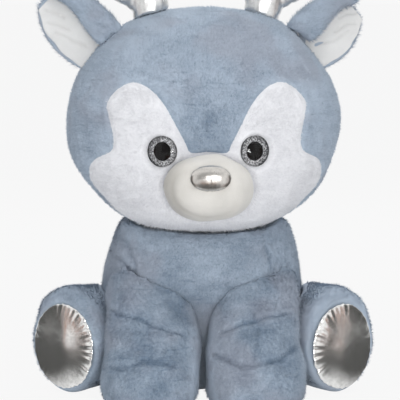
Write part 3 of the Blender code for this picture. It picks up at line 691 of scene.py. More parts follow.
@dataclass
class Form:
    """A stuffed form as arrays, taken from CAD solids and then sculpted."""

    name: str
    places: Array
    faces: list[tuple[int, ...]]
    tone: Array

    @classmethod
    def from_nodes(cls, name: str, nodes: Sequence[str], voxel: float, rounds: int) -> "Form":
        """Join CAD solids into one even mesh and soften it.

        Args:
            name: the form's name.
            nodes: the CAD nodes that it is made of.
            voxel: the size of its faces, in metres.
            rounds: how often it is smoothed.

        Returns:
            The form.
        """
        places: list[Vector] = []
        faces: list[tuple[int, ...]] = []
        for node in nodes:
            start = len(places)
            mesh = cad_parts[node].data
            places += [vertex.co.copy() for vertex in mesh.vertices]
            faces += [tuple(start + i for i in polygon.vertices) for polygon in mesh.polygons]
        raw = bpy.data.meshes.new(name)
        raw.from_pydata(places, [], faces)
        carrier = add_object(name, raw)
        weld = carrier.modifiers.new("weld", "WELD")
        weld.merge_threshold = 0.01 * MM
        remesh = carrier.modifiers.new("remesh", "REMESH")
        remesh.mode = "VOXEL"
        remesh.voxel_size = voxel
        soften = carrier.modifiers.new("soften", "SMOOTH")
        soften.factor = 0.5
        soften.iterations = rounds
        graph = bpy.context.evaluated_depsgraph_get()
        mesh = bpy.data.meshes.new_from_object(carrier.evaluated_get(graph))
        bpy.data.objects.remove(carrier)
        points = np.zeros(len(mesh.vertices) * 3)
        mesh.vertices.foreach_get("co", points)
        even = [tuple(polygon.vertices) for polygon in mesh.polygons]
        return cls(name, points.reshape(-1, 3), even, np.ones(len(mesh.vertices)))

    @property
    def x(self) -> Array:
        """Places across."""
        return self.places[:, 0]

    @property
    def y(self) -> Array:
        """Places from front to back."""
        return self.places[:, 1]

    @property
    def z(self) -> Array:
        """Places up."""
        return self.places[:, 2]

    def normals(self) -> Array:
        """The outward direction at each point.

        Returns:
            The normals.
        """
        mesh = bpy.data.meshes.new("scratch")
        mesh.from_pydata(self.places.tolist(), [], self.faces)
        normals = np.zeros(len(self.places) * 3)
        mesh.vertices.foreach_get("normal", normals)
        bpy.data.meshes.remove(mesh)
        return normals.reshape(-1, 3)

    def push(self, amount: Array) -> None:
        """Move the surface out by an amount at each point, in metres."""
        self.places = self.places + self.normals() * amount[:, None]

    def shade(self, amount: Union[Array, float]) -> None:
        """Add to the tone, which is lighter where it is higher."""
        self.tone = self.tone + amount

    def swell(self, height: float, scale: float, seed: int) -> None:
        """Lumps of stuffing under the cover: their height, how many a metre, and which."""
        self.push(smooth_noise(self.places, scale, seed) * height)

    def stand(self) -> None:
        """Keep the form on the ground."""
        self.places[:, 2] = np.maximum(self.z, 0.0)

    def crease(self, creases: Sequence[Crease], waver: float = 0.0011) -> None:
        """Draw creases in the form's front and paint shade into their pile.

        Args:
            creases: the creases.
            waver: how far they stray from their lines, in metres.
        """
        ahead = np.clip(-self.normals()[:, 1] * 1.6, 0.0, 1.0)
        sink = np.zeros(len(self.places))
        across = self.x + smooth_noise(self.places, 38.0, 15) * waver
        up = self.z + smooth_noise(self.places, 38.0, 16) * waver
        for line in creases:
            near = line.nearness(across, up) * ahead
            sink = np.maximum(sink, near * line.depth * MM)
            # Painted shade along each crease.
            self.tone = np.minimum(self.tone, 1.0 - near * line.shade)
        self.push(-sink)

    def part(self, name: str, chosen: Array) -> "Form":
        """Some of the faces as a form of its own.

        Args:
            name: the new form's name.
            chosen: which faces it takes.

        Returns:
            The part.
        """
        kept = [face for face, taken in zip(self.faces, chosen) if taken]
        used = np.unique(np.concatenate([np.array(face) for face in kept]))
        number = np.full(len(self.places), -1)
        number[used] = np.arange(len(used))
        faces = [tuple(int(number[i]) for i in face) for face in kept]
        return Form(name, self.places[used], faces, self.tone[used])

    def split_at_line(self, distance: Array, slope: Array, front: Array) -> Array:
        """Bring the nearest points onto a seam line and cut the faces that it crosses.

        Args:
            distance: each point's distance to the line, positive inside.
            slope: the direction in which the distance grows, as vectors.
            front: which points the line may claim.

        Returns:
            Which faces lie inside.
        """
        pairs = np.array([(f[i], f[i - 1]) for f in self.faces for i in range(len(f))])
        pairs = pairs[front[pairs].all(axis=1)]
        pairs = pairs[distance[pairs[:, 0]] * distance[pairs[:, 1]] < 0.0]
        nearer = np.abs(distance[pairs[:, 0]]) <= np.abs(distance[pairs[:, 1]])
        moved = np.unique(np.where(nearer, pairs[:, 0], pairs[:, 1]))
        move = -distance[moved, None] * slope[moved]
        self.places[moved] += along_surface(move, self.normals()[moved])
        side = np.where(front, distance, -1.0)
        side[moved] = 0.0
        faces: list[tuple[int, ...]] = []
        for face in self.faces:
            values = side[list(face)]
            mixed = len(face) == 4 and values.max() > 0.0 > values.min()
            if mixed and values[0] == 0.0 == values[2]:
                faces += [(face[0], face[1], face[2]), (face[2], face[3], face[0])]
            elif mixed and values[1] == 0.0 == values[3]:
                faces += [(face[1], face[2], face[3]), (face[3], face[0], face[1])]
            else:
                faces.append(face)
        self.faces = faces
        return np.array([side[list(face)].sum() > 0.0 for face in faces])

    def piece(self, finish: Finish, subdivide: int = 0) -> bpy.types.Object:
        """Make the form a scene object.

        Args:
            finish: its finish.
            subdivide: levels of subdivision.

        Returns:
            The object.
        """
        mesh = bpy.data.meshes.new(self.name)
        mesh.from_pydata(self.places.tolist(), [], self.faces)
        write_tone(mesh, self.tone)
        mesh.shade_smooth()
        piece = add_object(self.name, mesh, finish)
        if subdivide:
            modifier = piece.modifiers.new("soft form", "SUBSURF")
            modifier.levels = subdivide
            modifier.render_levels = subdivide
        return piece


def straightened(places: Array) -> Array:
    """Places on the head turned back to the pattern's own straight frame.

    Args:
        places: points, in metres.

    Returns:
        The turned points.
    """
    cosine, sine = math.cos(-HEAD_TURN), math.sin(-HEAD_TURN)
    x, y, z = places[:, 0], places[:, 1] - HEAD_AXIS.y, places[:, 2]
    return np.stack([cosine * x - sine * y, sine * x + cosine * y + HEAD_AXIS.y, z], 1)


# ---------------------------------------------------------------- pile


def comb_down(places: Array, normals: Array) -> Array:
    """Pile that lies downward."""
    return np.tile(np.array([0.0, 0.0, -1.0]), (len(places), 1))


def comb_along(direction: Array) -> SurfaceRule:
    """Pile that lies in one direction."""
    return lambda places, normals: np.tile(direction, (len(places), 1))


def comb_from_muzzle(places: Array, normals: Array) -> Array:
    """Pile that lies away from the muzzle and down the cheeks."""
    away = places - np.array([0.0, -0.16, 0.225])
    return unit(away) + np.array([0.0, 0.0, -0.35])


def off_ground(places: Array, normals: Array) -> Array:
    """Where a form doesn't stand on the ground."""
    return ~((normals[:, 2] < -0.7) & (places[:, 2] < 0.01))


def clear_of(node: str, reach: float) -> Callable[[Array], Array]:
    """A test that leaves out pile squeezed against a neighbour.

    Args:
        node: the neighbour's CAD node.
        reach: how near counts as squeezed, in metres.

    Returns:
        The test, from places to True where pile may grow.
    """
    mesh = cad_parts[node].data
    faces = [tuple(polygon.vertices) for polygon in mesh.polygons]
    tree = surface_tree([vertex.co for vertex in mesh.vertices], faces)

    def free(places: Array) -> Array:
        """Whether each place is clear of the neighbour."""
        return np.array([tree.find_nearest(Vector(place), reach)[0] is None for place in places])

    return free


@dataclass(frozen=True)
class Pile:
    """Cut pile as short leaning blades, thick enough to hide the cloth under it."""

    seed: int
    length: float = 0.0032
    comb: SurfaceRule = comb_down
    width: float = 0.0009
    spacing: float = 0.00115
    lean: float = 0.84
    lean_spread: float = 0.13
    ragged: float = 0.35
    swirl: float = 0.28
    swirl_scale: float = 14.0
    scatter: float = 0.30
    sunk: float = 0.12
    speckle: float = 0.12
    root_shade: float = 0.12
    tip_light: float = 0.08

    def grow(
        self,
        form: Form,
        finish: Finish,
        keep: SurfaceRule,
        length_share: Optional[Callable[[Array], Array]] = None,
    ) -> bpy.types.Object:
        """Grow pile on a form.

        Args:
            form: the surface.
            finish: the pile's finish.
            keep: which roots stay, from their places and normals.
            length_share: how long the pile is at each place.

        Returns:
            The pile as one object.
        """
        chance = np.random.default_rng(self.seed)
        corners = np.array(
            [(f[0], f[i], f[i + 1]) for f in form.faces for i in range(1, len(f) - 1)]
        )
        a, b, c = (form.places[corners[:, i]] for i in range(3))
        areas = np.linalg.norm(np.cross(b - a, c - a), axis=1) / 2.0
        count = int(areas.sum() / self.spacing**2)
        chosen = np.searchsorted(np.cumsum(areas) / areas.sum(), np.sort(chance.random(count)))
        corners = corners[np.minimum(chosen, len(areas) - 1)]
        u, v = chance.random(count), chance.random(count)
        flip = u + v > 1.0
        u[flip], v[flip] = 1.0 - u[flip], 1.0 - v[flip]
        shares = np.stack([1.0 - u - v, u, v], 1)
        every = form.normals()
        roots = sum(form.places[corners[:, i]] * shares[:, i : i + 1] for i in range(3))
        normals = unit(sum(every[corners[:, i]] * shares[:, i : i + 1] for i in range(3)))
        tone = sum(form.tone[corners[:, i]] * shares[:, i] for i in range(3))
        stays = keep(roots, normals)
        roots, normals, tone = roots[stays], normals[stays], tone[stays]
        count = len(roots)
        swirl = np.stack(
            [smooth_noise(roots, self.swirl_scale, self.seed * 7 + k) for k in range(3)], 1
        )
        lie = self.comb(roots, normals) + swirl * self.swirl
        lie = unit(along_surface(lie + chance.normal(size=(count, 3)) * self.scatter, normals))
        lengths = self.length * (1.0 + self.ragged * chance.uniform(-1.0, 1.0, count))
        if length_share is not None:
            lengths = lengths * length_share(roots)
        lean = self.lean + chance.normal(size=count) * self.lean_spread
        lean = np.clip(lean, 0.1, 0.95)[:, None]
        rise = normals * np.sqrt(1.0 - lean**2) + lie * lean
        across = np.cross(normals, lie) * self.width / 2.0
        sink = normals * self.length * self.sunk
        blades = [roots + across - sink, roots - across - sink]
        blades.append(roots + rise * lengths[:, None] - sink)
        facing = unit(np.cross(across, rise))
        facing *= np.sign(np.sum(facing * normals, axis=1, keepdims=True))
        shading = normals * 0.88 + facing * 0.12 + chance.normal(size=(count, 3)) * 0.05
        tones = np.repeat(tone + chance.normal(size=count) * self.speckle, 3).reshape(-1, 3)
        tones += np.array([-self.root_shade, -self.root_shade, self.tip_light])
        places = np.stack(blades, 1).reshape(-1, 3)
        shading = np.repeat(unit(shading), 3, 0)
        return self._object(form.name + "_pile", places, shading, tones.ravel(), finish)

    def _object(
        self, name: str, places: Array, shading: Array, tones: Array, finish: Finish
    ) -> bpy.types.Object:
        """Make blades a mesh, each with a cell of its own in the baking chart.

        Args:
            name: the object's name.
            places: three points for each blade.
            shading: their normals.
            tones: their tones.
            finish: the pile's finish.

        Returns:
            The object.
        """
        count = len(places) // 3
        mesh = bpy.data.meshes.new(name)
        mesh.vertices.add(count * 3)
        mesh.vertices.foreach_set("co", places.astype(np.float32).ravel())
        mesh.loops.add(count * 3)
        mesh.loops.foreach_set("vertex_index", np.arange(count * 3, dtype=np.int32))
        mesh.polygons.add(count)
        mesh.polygons.foreach_set("loop_start", np.arange(0, count * 3, 3, dtype=np.int32))
        mesh.update(calc_edges=True)
        mesh.shade_smooth()
        write_tone(mesh, tones)
        cells = int(math.ceil(math.sqrt(count)))
        row, column = np.divmod(np.arange(count), cells)
        corner = np.stack([column, row], 1) / cells
        offsets = np.array([(0.1, 0.1), (0.9, 0.1), (0.5, 0.9)]) / cells
        spots = (corner[:, None, :] + offsets[None, :, :]).reshape(-1)
        chart = mesh.uv_layers.new(name="OFBake")
        chart.uv.foreach_set("vector", spots.astype(np.float32))
        mesh.normals_split_custom_set_from_vertices(shading.astype(np.float32))
        return add_object(name, mesh, finish)


# ---------------------------------------------------------------- sub-assemblies


@dataclass(frozen=True)
class InnerPiece:
    """A plain soft piece inside or under the body, after its CAD solid."""

    name: str
    node: str
    finish: Finish
    body: str
    slot: str
    voxel: float = 0.0025
    lump_height: float = 0.0
    lump_scale: float = 60.0
    shrink: float = 0.0

    def build(self) -> None:
        """Make the piece."""
        form = Form.from_nodes(self.name, (self.node,), self.voxel, 2)
        form.swell(self.lump_height, self.lump_scale, 5)
        form.push(np.full(len(form.places), -self.shrink))
        piece = form.piece(self.finish)
        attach(piece, self.body)
        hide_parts(self.node)
        LOG.info("%s", self.name)


@dataclass
class Torso:
    """The body: its stuffed cover, seat panel, pellet bag and neck wad."""

    voxel: float = 0.0032
    lump_height: float = 0.0012
    lump_scale: float = 16.0
    tail_seat: Place = (0.0, 0.085, 0.058)
    tail_dimple: float = 0.0022
    tail_dimple_width: float = 0.022
    neck_base: float = 0.155
    gap_half: float = 0.034
    gap_top: float = 0.088
    pile: Pile = Pile(seed=11)
    inner: tuple[InnerPiece, ...] = (
        InnerPiece("seat_gusset", "seat_panel", SEAT_COTTON, "body", "cotton", voxel=0.0012),
        InnerPiece(
            "pellet_bag_cover", "pellet_bag", BAG_COTTON, "body", "cotton", lump_height=0.0008
        ),
        InnerPiece("neck_fibre", "neck_wad", STUFFING, "neck", "stuffing", shrink=0.0012),
    )
    creases: tuple[Crease, ...] = (
        Crease(
            ((-96, 139), (-80, 134), (-68, 124), (-62, 117), (-56, 106), (-40, 97), (-22, 88)),
            3.0, 4.0, 0.65,
        ),
        Crease(((-82, 157), (-74, 150), (-67, 137), (-67, 122)), 2.0, 4.0, 0.6),
        Crease(((86, 128), (76, 116), (66, 106), (50, 103), (33, 94), (20, 84)), 3.0, 4.0, 0.65),
        Crease(((62, 152), (66, 140), (68, 128)), 1.6, 4.0, 0.4),
        Crease(((-60, 171), (-30, 166), (2, 168), (34, 165), (60, 170)), 1.4, 12.0, 0.25),
    )

    def build(self) -> None:
        """Make the body's pieces."""
        nodes = ("torso", "seat_panel", "pellet_bag", "neck_wad")
        form = Form.from_nodes("body_cover", nodes, self.voxel, 6)
        form.swell(self.lump_height, self.lump_scale, 3)
        away = np.linalg.norm(form.places - np.array(self.tail_seat), axis=1)
        form.push(-self.tail_dimple * bell(away, self.tail_dimple_width))
        form.crease(self.creases)
        # Painted shade over the whole body, painted light near the neck under the chin, and painted
        # light between the front legs where their shade falls.
        form.shade(-0.16)
        form.shade(0.34 * step(form.z, self.neck_base, 0.014))
        between = fall(np.abs(form.x), self.gap_half, 0.014)
        form.shade(0.8 * between * fall(form.z, self.gap_top, 0.03))
        cover = form.piece(BLUE_PLUSH)
        free = clear_of("tail", 0.0045)
        pile = self.pile.grow(form, BLUE_PLUSH, lambda p, n: off_ground(p, n) & free(p))
        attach(cover, "body")
        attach(pile, "body")
        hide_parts("torso")
        LOG.info("body cover and pile")
        for piece in self.inner:
            piece.build()


@dataclass
class PanelSeam:
    """The white panel's outline as a field of distances, in the head's own straight frame."""

    step: float = 0.0008
    corner: tuple[float, float] = (-0.130, 0.130)
    span: tuple[int, int] = (326, 256)
    behind: float = -0.05
    half: tuple[tuple[float, float], ...] = (
        (0, 249), (17, 248), (21.5, 256), (30, 272), (41, 292), (52, 305), (64, 312.5),
        (76, 313), (88, 305), (96, 294), (95, 283), (92, 270), (90, 258), (92, 249),
        (99, 244), (108, 239), (113, 231), (113, 219), (109, 209), (102, 202), (96, 195),
        (90, 186), (78, 177), (60, 168), (40, 160), (0, 150),
    )

    def __post_init__(self) -> None:
        """Work the field out once."""
        outline = self.outline()
        across = self.corner[0] + self.step * np.arange(self.span[0])
        up = self.corner[1] + self.step * np.arange(self.span[1])
        x, z = np.meshgrid(across, up, indexing="ij")
        best = np.full(x.shape, np.inf)
        inside = np.zeros(x.shape, bool)
        for start, end in zip(outline, np.roll(outline, -1, axis=0)):
            best = np.minimum(best, away_from_line(x, z, start, end))
            run = end - start
            between = (start[1] > z) != (end[1] > z)
            slope = run[0] / (run[1] if run[1] != 0.0 else 1e-12)
            inside ^= between & (x < (z - start[1]) * slope + start[0])
        self.field = np.where(inside, best, -best)

    def outline(self) -> Array:
        """The outline as a smooth closed line through the points of both halves.

        Returns:
            Its points, across and up in metres.
        """
        right = np.array(self.half, float)
        left = right[::-1][1:-1] * np.array([-1.0, 1.0])
        points = np.concatenate([right, left]) * MM
        before, after = np.roll(points, 1, axis=0), np.roll(points, -1, axis=0)
        beyond = np.roll(points, -2, axis=0)
        slope = after - before
        bend = 2.0 * before - 5.0 * points + 4.0 * after - beyond
        twist = 3.0 * points - before - 3.0 * after + beyond
        rows = [
            0.5 * (2.0 * points + slope * t + bend * t**2 + twist * t**3)
            for t in (0.0, 0.25, 0.5, 0.75)
        ]
        return np.stack(rows, 1).reshape(-1, 2)

    def read(self, places: Array) -> Array:
        """The distance to the seam at places in the straight frame, positive inside.

        Args:
            places: points, in metres.

        Returns:
            The distances; far outside behind the face.
        """
        u = np.clip((places[:, 0] - self.corner[0]) / self.step, 0.0, self.span[0] - 1.001)
        v = np.clip((places[:, 2] - self.corner[1]) / self.step, 0.0, self.span[1] - 1.001)
        i, j = u.astype(int), v.astype(int)
        s, t = u - i, v - j
        low = self.field[i, j] * (1.0 - s) + self.field[i + 1, j] * s
        high = self.field[i, j + 1] * (1.0 - s) + self.field[i + 1, j + 1] * s
        return np.where(places[:, 1] < FACE_Y, low * (1.0 - t) + high * t, self.behind)

    def slope(self, places: Array) -> Array:
        """The direction in which the distance grows.

        Args:
            places: points in the straight frame, in metres.

        Returns:
            Vectors in the straight frame.
        """
        rows = np.zeros((len(places), 3))
        for axis in (0, 2):
            off = np.zeros(3)
            off[axis] = self.step
            rows[:, axis] = (self.read(places + off) - self.read(places - off)) / (2.0 * self.step)
        return unit(rows, 0.5)


@dataclass
class Head:
    """The head: blue cover, white face panel and their pile."""

    voxel: float = 0.0026
    lump_height: float = 0.0011
    lump_scale: float = 13.0
    brow_height: float = 0.272
    cheek_height: float = 0.245
    lash_reach: float = 0.0145
    blue: Pile = Pile(seed=21, comb=comb_from_muzzle)
    white: Pile = Pile(seed=22, comb=comb_from_muzzle)
    crown_seam: Crease = Crease(((0, 330), (0, 392)), 1.0, 5.0, 0.10)
    brow_fold: Crease = Crease(((1, 285), (-1, 268)), 1.4, 10.0, 0.14)

    def form(self) -> Form:
        """The head's cover before it is divided: lumps, seams, dimples and painted shade in its
        pile.

        Returns:
            The form.
        """
        nodes = ["head", "face_panel"]
        for side in Side:
            nodes += [f"eye_post_{side.word}", f"eye_washer_{side.word}"]
        form = Form.from_nodes("head_cover", nodes, self.voxel, 6)
        form.swell(self.lump_height, self.lump_scale, 8)
        flat = straightened(form.places)
        x, y, z = flat[:, 0], flat[:, 1], flat[:, 2]
        # Painted shade along the crown seam and the brow fold.
        for crease, limit in ((self.crown_seam, 0.4), (self.brow_fold, -0.4)):
            near = crease.nearness(x, z) * (form.normals()[:, 1] < limit)
            form.tone = np.minimum(form.tone, 1.0 - near * crease.shade)
            form.push(-near * crease.depth * MM)
        brow = np.exp(-((x / 0.034) ** 2) - ((z - self.brow_height) / 0.040) ** 2)
        form.shade(0.10)
        # Painted shade in the brow's dip, lower down the head and on the deer's right side.
        form.shade(-0.50 * brow * (y < 0.0))
        form.shade(-0.14 * fall(z, self.cheek_height, 0.03))
        form.shade(-0.10 * step(-x, 0.095, 0.02))
        low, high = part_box("muzzle")
        middle, reach = np.array((low + high) / 2.0), np.array((high - low) / 2.0)
        away = np.hypot((form.x - middle[0]) / reach[0], (form.z - middle[2]) / reach[2])
        beside = bell(away - 1.01, 0.06) * (form.y < FACE_Y)
        # Painted shade beside the muzzle, where its seam sinks.
        form.shade(-0.60 * beside)
        form.push(-0.0016 * beside)
        return form

    def build(self) -> None:
        """Make the head's covers and pile."""
        form, seam = self.form(), PanelSeam()
        distance = seam.read(straightened(form.places))
        groove = bell(distance, 0.0022)
        # Painted shade along the seam's groove.
        form.shade(-0.16 * groove)
        form.push(0.0007 * step(distance, 0.0, 0.004) - 0.0009 * groove)
        for side in Side:
            Eye(side).sink(form)
        flat = straightened(form.places)
        slope = seam.slope(flat)
        cosine, sine = math.cos(HEAD_TURN), math.sin(HEAD_TURN)
        turned = np.stack([cosine * slope[:, 0], sine * slope[:, 0], slope[:, 2]], 1)
        white = form.split_at_line(seam.read(flat), turned, flat[:, 1] < FACE_Y)
        blue_form = form.part("head_cover", ~white)
        white_form = form.part("face_panel_cover", white)
        eyes = [eye_place(side) for side in Side]
        floor = form.z.min()

        def near_eye(roots: Array) -> Array:
            """How far each root is from the nearer eye."""
            return np.min([np.linalg.norm(roots - eye, axis=1) for eye in eyes], axis=0)

        def border(roots: Array) -> Array:
            """Shorter pile along the panel's seam, longer under the chin.

            Args:
                roots: where the pile grows.

            Returns:
                Its length, as a share.
            """
            away = seam.read(straightened(roots))
            chin = fall(roots[:, 2], floor + 0.014, 0.008) * (roots[:, 1] < -0.03)
            return (1.0 - 0.45 * bell(away, 0.0035)) * (1.0 + 0.7 * chin)

        def white_share(roots: Array) -> Array:
            """Shorter pile round the eyes and along the seam."""
            return np.clip((near_eye(roots) - 0.013) / 0.010, 0.3, 1.0) * border(roots)

        def in_panel(roots: Array, normals: Array) -> Array:
            """Whether a root grows on the white panel, with a slightly ragged edge."""
            ragged = smooth_noise(roots, 160.0, 5) * 0.0004
            return seam.read(straightened(roots)) + ragged > 0.0

        blue_pile = self.blue.grow(form, BLUE_PLUSH, lambda p, n: ~in_panel(p, n), border)
        blue_pile.name = "head_pile"
        white_pile = self.white.grow(
            form,
            WHITE_PLUSH,
            lambda p, n: in_panel(p, n) & (near_eye(p) > self.lash_reach),
            white_share,
        )
        white_pile.name = "face_panel_pile"
        blue, panel = blue_form.piece(BLUE_PLUSH), white_form.piece(WHITE_PLUSH)
        for piece in (blue, blue_pile, panel, white_pile):
            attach(piece, "head")
        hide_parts("head")
        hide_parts("face_panel")
        LOG.info("head covers and pile")


def eye_place(side: Side) -> Array:
    """The middle of an eye's ring."""
    low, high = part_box(f"eye_film_{side.word}")
    return np.array((low + high) / 2.0)


def lathe(
    name: str, profile: Sequence[tuple[float, float]], matrix: Matrix, finish: Finish
) -> bpy.types.Object:
    """Turn a profile of radius and height into a smooth round piece.

    Args:
        name: the piece's name.
        profile: radius and height, from the top down its outer side.
        matrix: where its axis lies.
        finish: its finish.

    Returns:
        The object.
    """
    bm = bmesh.new()
    points = [bm.verts.new((radius, 0.0, height)) for radius, height in profile]
    edges = [bm.edges.new(pair) for pair in zip(points, points[1:])]
    turn = {"cent": (0, 0, 0), "axis": (0, 0, 1), "angle": math.tau, "steps": 64}
    bmesh.ops.spin(bm, geom=points + edges, use_duplicate=False, **turn)
    bmesh.ops.remove_doubles(bm, verts=bm.verts, dist=0.01 * MM)
    bmesh.ops.recalc_face_normals(bm, faces=bm.faces)
    top = max(bm.faces, key=lambda face: face.calc_center_median().z)
    if top.normal.z < 0.0:
        bmesh.ops.reverse_faces(bm, faces=bm.faces)
    mesh = bpy.data.meshes.new(name)
    bm.to_mesh(mesh)
    bm.free()
    mesh.transform(matrix)
    mesh.shade_smooth()
    mesh.set_sharp_from_angle(angle=math.radians(40.0))
    return add_object(name, mesh, finish)


@dataclass
class Eye:
    """A safety eye: clear dome over a glitter ring and a black pupil."""

    side: Side
    radius: float = 0.0148
    pupil: float = 0.0088
    dome: float = 0.0052
    edge: float = 0.0016
    yaw: float = math.radians(26.0)
    clearance: float = 0.0003
    film: float = 0.0003
    dimple: float = 0.006
    arcs: int = 14

    def matrix(self) -> Matrix:
        """The eye's frame, whose Z looks out of the head.

        Returns:
            The frame.
        """
        low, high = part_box(f"eye_pupil_{self.side.word}")
        turn = self.side.value * self.yaw + HEAD_TURN
        out = Vector((math.sin(turn), -math.cos(turn), 0.0))
        across = Vector((math.cos(turn), math.sin(turn), 0.0))
        matrix = Matrix((across, out.cross(across), out)).transposed().to_4x4()
        matrix.translation = (low + high) / 2.0
        return matrix

    def sink(self, form: Form) -> None:
        """Press a form back round the eye, so that the eye sits in a dimple of the cloth.

        Args:
            form: the head's cover.
        """
        matrix = np.array(self.matrix())
        off = form.places - matrix[:3, 3]
        ahead = off @ matrix[:3, 2]
        away = np.linalg.norm(off - ahead[:, None] * matrix[:3, 2], axis=1)
        rise = step(away, self.radius, self.dimple)
        limit = -0.0014 + rise * rise * self.dimple
        near = (away < self.radius + self.dimple) & (np.abs(ahead) < 0.02)
        back = np.where(near, np.minimum(limit - ahead, 0.0), 0.0)
        form.places = form.places + back[:, None] * matrix[:3, 2]

    def dome_profile(self) -> list[tuple[float, float]]:
        """The clear dome as part of a ball, with a short straight edge.

        Returns:
            Radius and height, from the top down.
        """
        foot = self.film + self.clearance
        bend = (self.radius**2 + self.dome**2) / (2.0 * self.dome)
        top = foot + self.edge + self.dome
        profile = []
        for k in range(self.arcs + 1):
            turn = math.asin(self.radius / bend) * k / self.arcs
            profile.append((bend * math.sin(turn), top - bend * (1.0 - math.cos(turn))))
        return profile + [(self.radius, foot - 0.002)]

    def build(self) -> None:
        """Make the eye's pieces."""
        word, matrix = self.side.word, self.matrix()
        film, outer, inner = self.film, self.radius - self.clearance, self.pupil + self.clearance
        ring = [(outer, film), (outer, -film), (inner, -film), (inner, film), (outer, film)]
        disc = [(0.0, 0.0004), (self.pupil * 0.94, 0.0004), (self.pupil, 0.0)]
        disc += [(self.pupil, -film), (0.0, -film)]
        centre = tuple(matrix.translation)
        glitter = GlitterFinish(f"glitter_film_{word}", centre, self.pupil, self.radius)
        dome = lathe(f"dome_{word}", self.dome_profile(), matrix, CLEAR_DOME)
        film_ring = lathe(f"glitter_ring_{word}", ring, matrix, glitter)
        pupil = lathe(f"pupil_{word}", disc, matrix, BLACK_PLASTIC)
        for piece, node, slot in (
            (dome, "eye_dome", "clear_plastic"),
            (film_ring, "eye_film", "glitter_film"),
            (pupil, "eye_pupil", "black_plastic"),
        ):
            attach(piece, "head")
            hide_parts(f"{node}_{word}")
        for node, finish in (("eye_post", BLACK_PLASTIC), ("eye_washer", WASHER_PLASTIC)):
            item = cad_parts[f"{node}_{word}"]
            item.data.materials.clear()
            item.data.materials.append(finish.material())
        LOG.info("eye %s", word)


@dataclass
class Muzzle:
    """The velour muzzle and the foil nose on it."""

    voxel: float = 0.0018
    nose_voxel: float = 0.0009
    stitch_depth: float = 0.45
    stitch_width: float = 1.3
    puckers: float = 1500.0
    pucker_height: float = 0.0002

    def build(self) -> None:
        """Make the muzzle and the nose."""
        form = Form.from_nodes("muzzle_cover", ("muzzle",), self.voxel, 8)
        form.swell(0.0007, 30.0, 31)
        low, high = form.places.min(0), form.places.max(0)
        off = (form.places - (low + high) / 2.0) / ((high - low) / 2.0)
        x, y, z = off[:, 0], off[:, 1], off[:, 2]
        away = np.hypot(x, z)
        # Painted shade toward the rim, more on the left and lower down, painted shade on the left
        # side, and painted light on top.
        form.shade(-step(away, 0.62, 0.38) * (0.42 - 0.20 * x - 0.20 * z))
        form.shade(-0.52 * np.clip(-x - 0.2, 0.0, 1.0))
        form.shade(0.30 * np.clip(z, 0.0, 1.0))
        form.shade(-0.08)
        # Painted shade in a fold at the lower left.
        low_left = np.clip((-x - z) * 1.4, 0.0, 1.0) * (y < 0.2)
        fold = bell(away - 0.80, 0.05) * low_left
        form.shade(-0.22 * fold)
        form.push(-fold * 0.0006)
        muzzle = form.piece(IVORY_VELOUR, 1)
        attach(muzzle, "head")
        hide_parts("muzzle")
        self.nose()
        LOG.info("muzzle and nose")

    def nose(self) -> None:
        """Make the nose, with its stitched line and the puckers beside it."""
        form = Form.from_nodes("nose_cover", ("nose",), self.nose_voxel, 6)
        low = form.places.min(0)
        middle = (low + form.places.max(0)) / 2.0
        line = ((middle[0] / MM, low[2] / MM - 2), (middle[0] / MM, middle[2] / MM - 0.5))
        near = Crease(line, self.stitch_depth, self.stitch_width, 0.0).nearness(form.x, form.z)
        form.push(-near * self.stitch_depth * MM)
        pucker = np.exp(-np.abs(form.x - middle[0]) / 0.006) * fall(form.z, middle[2], 0.012)
        waves = np.sin((form.x - middle[0]) * self.puckers)
        form.push(waves * pucker * self.pucker_height)
        nose = form.piece(NOSE_FOIL, 1)
        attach(nose, "head")
        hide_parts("nose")


@dataclass
class Ear:
    """An ear: plush back rolled over an ivory lining."""

    side: Side
    back_reach: float = 0.0105
    lining_reach: float = 0.0150
    root: float = 0.030
    covered: float = 0.0045
    pile_length: float = 0.0052
    folds: tuple[tuple[tuple[float, float], ...], ...] = (
        ((138, 374), (148, 378), (156, 380)),
        ((134, 361), (145, 366), (154, 369)),
        ((122, 350), (134, 352), (146, 358)),
    )

    def out(self) -> Array:
        """The direction from the ear's root to its tip."""
        lean = math.radians(57.0 if self.side is Side.LEFT else 50.0)
        return np.array([self.side.value * math.sin(lean), 0.0, math.cos(lean)])

    def reach_head(self, form: Form, amount: float) -> None:
        """Draw a form's root toward the head, where the ear is sewn in.

        Args:
            form: the ear's back or its lining.
            amount: how far the root goes, in metres.
        """
        along = form.places @ self.out()
        weight = np.clip(1.0 - (along - along.min()) / self.root, 0.0, 1.0) ** 2
        form.places = form.places - self.out() * (weight * amount)[:, None]

    def creases(self) -> tuple[Crease, ...]:
        """The soft folds of the lining, from the seam toward its tip."""
        lines = [[(self.side.value * x, z) for x, z in line] for line in self.folds]
        return tuple(Crease(line, 1.0, 3.0, 0.22) for line in lines)

    def build(self) -> None:
        """Make the ear's back, its pile and its lining."""
        word, body = self.side.word, f"{self.side.word}_ear"
        back = Form.from_nodes(f"ear_back_{word}", (f"ear_{word}",), 0.0016, 5)
        self.reach_head(back, self.back_reach)
        back.shade(0.15)
        lining = Form.from_nodes(f"ear_lining_{word}_velour", (f"ear_lining_{word}",), 0.0009, 3)
        lining.swell(0.0006, 55.0, 51)
        # The folds sink the lining and paint shade into it.
        lining.crease(self.creases())
        self.reach_head(lining, self.lining_reach)
        tree = surface_tree(lining.places, lining.faces)

        def keep(roots: Array, normals: Array) -> Array:
            """No pile where the lining covers the back."""
            near = [tree.find_nearest(Vector(p), self.covered)[0] is not None for p in roots]
            return ~(np.array(near) & (normals[:, 1] < -0.35))

        pile = Pile(41 + self.side.seed, self.pile_length, comb_along(self.out()))
        blades = pile.grow(back, BLUE_PLUSH, keep)
        cover = back.piece(BLUE_PLUSH)
        inner = lining.piece(LINING_VELOUR)
        for piece, slot in ((cover, "plush"), (blades, "plush"), (inner, "velour")):
            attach(piece, body)
        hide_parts(f"ear_{word}")
        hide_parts(f"ear_lining_{word}")
        LOG.info("ear %s", word)


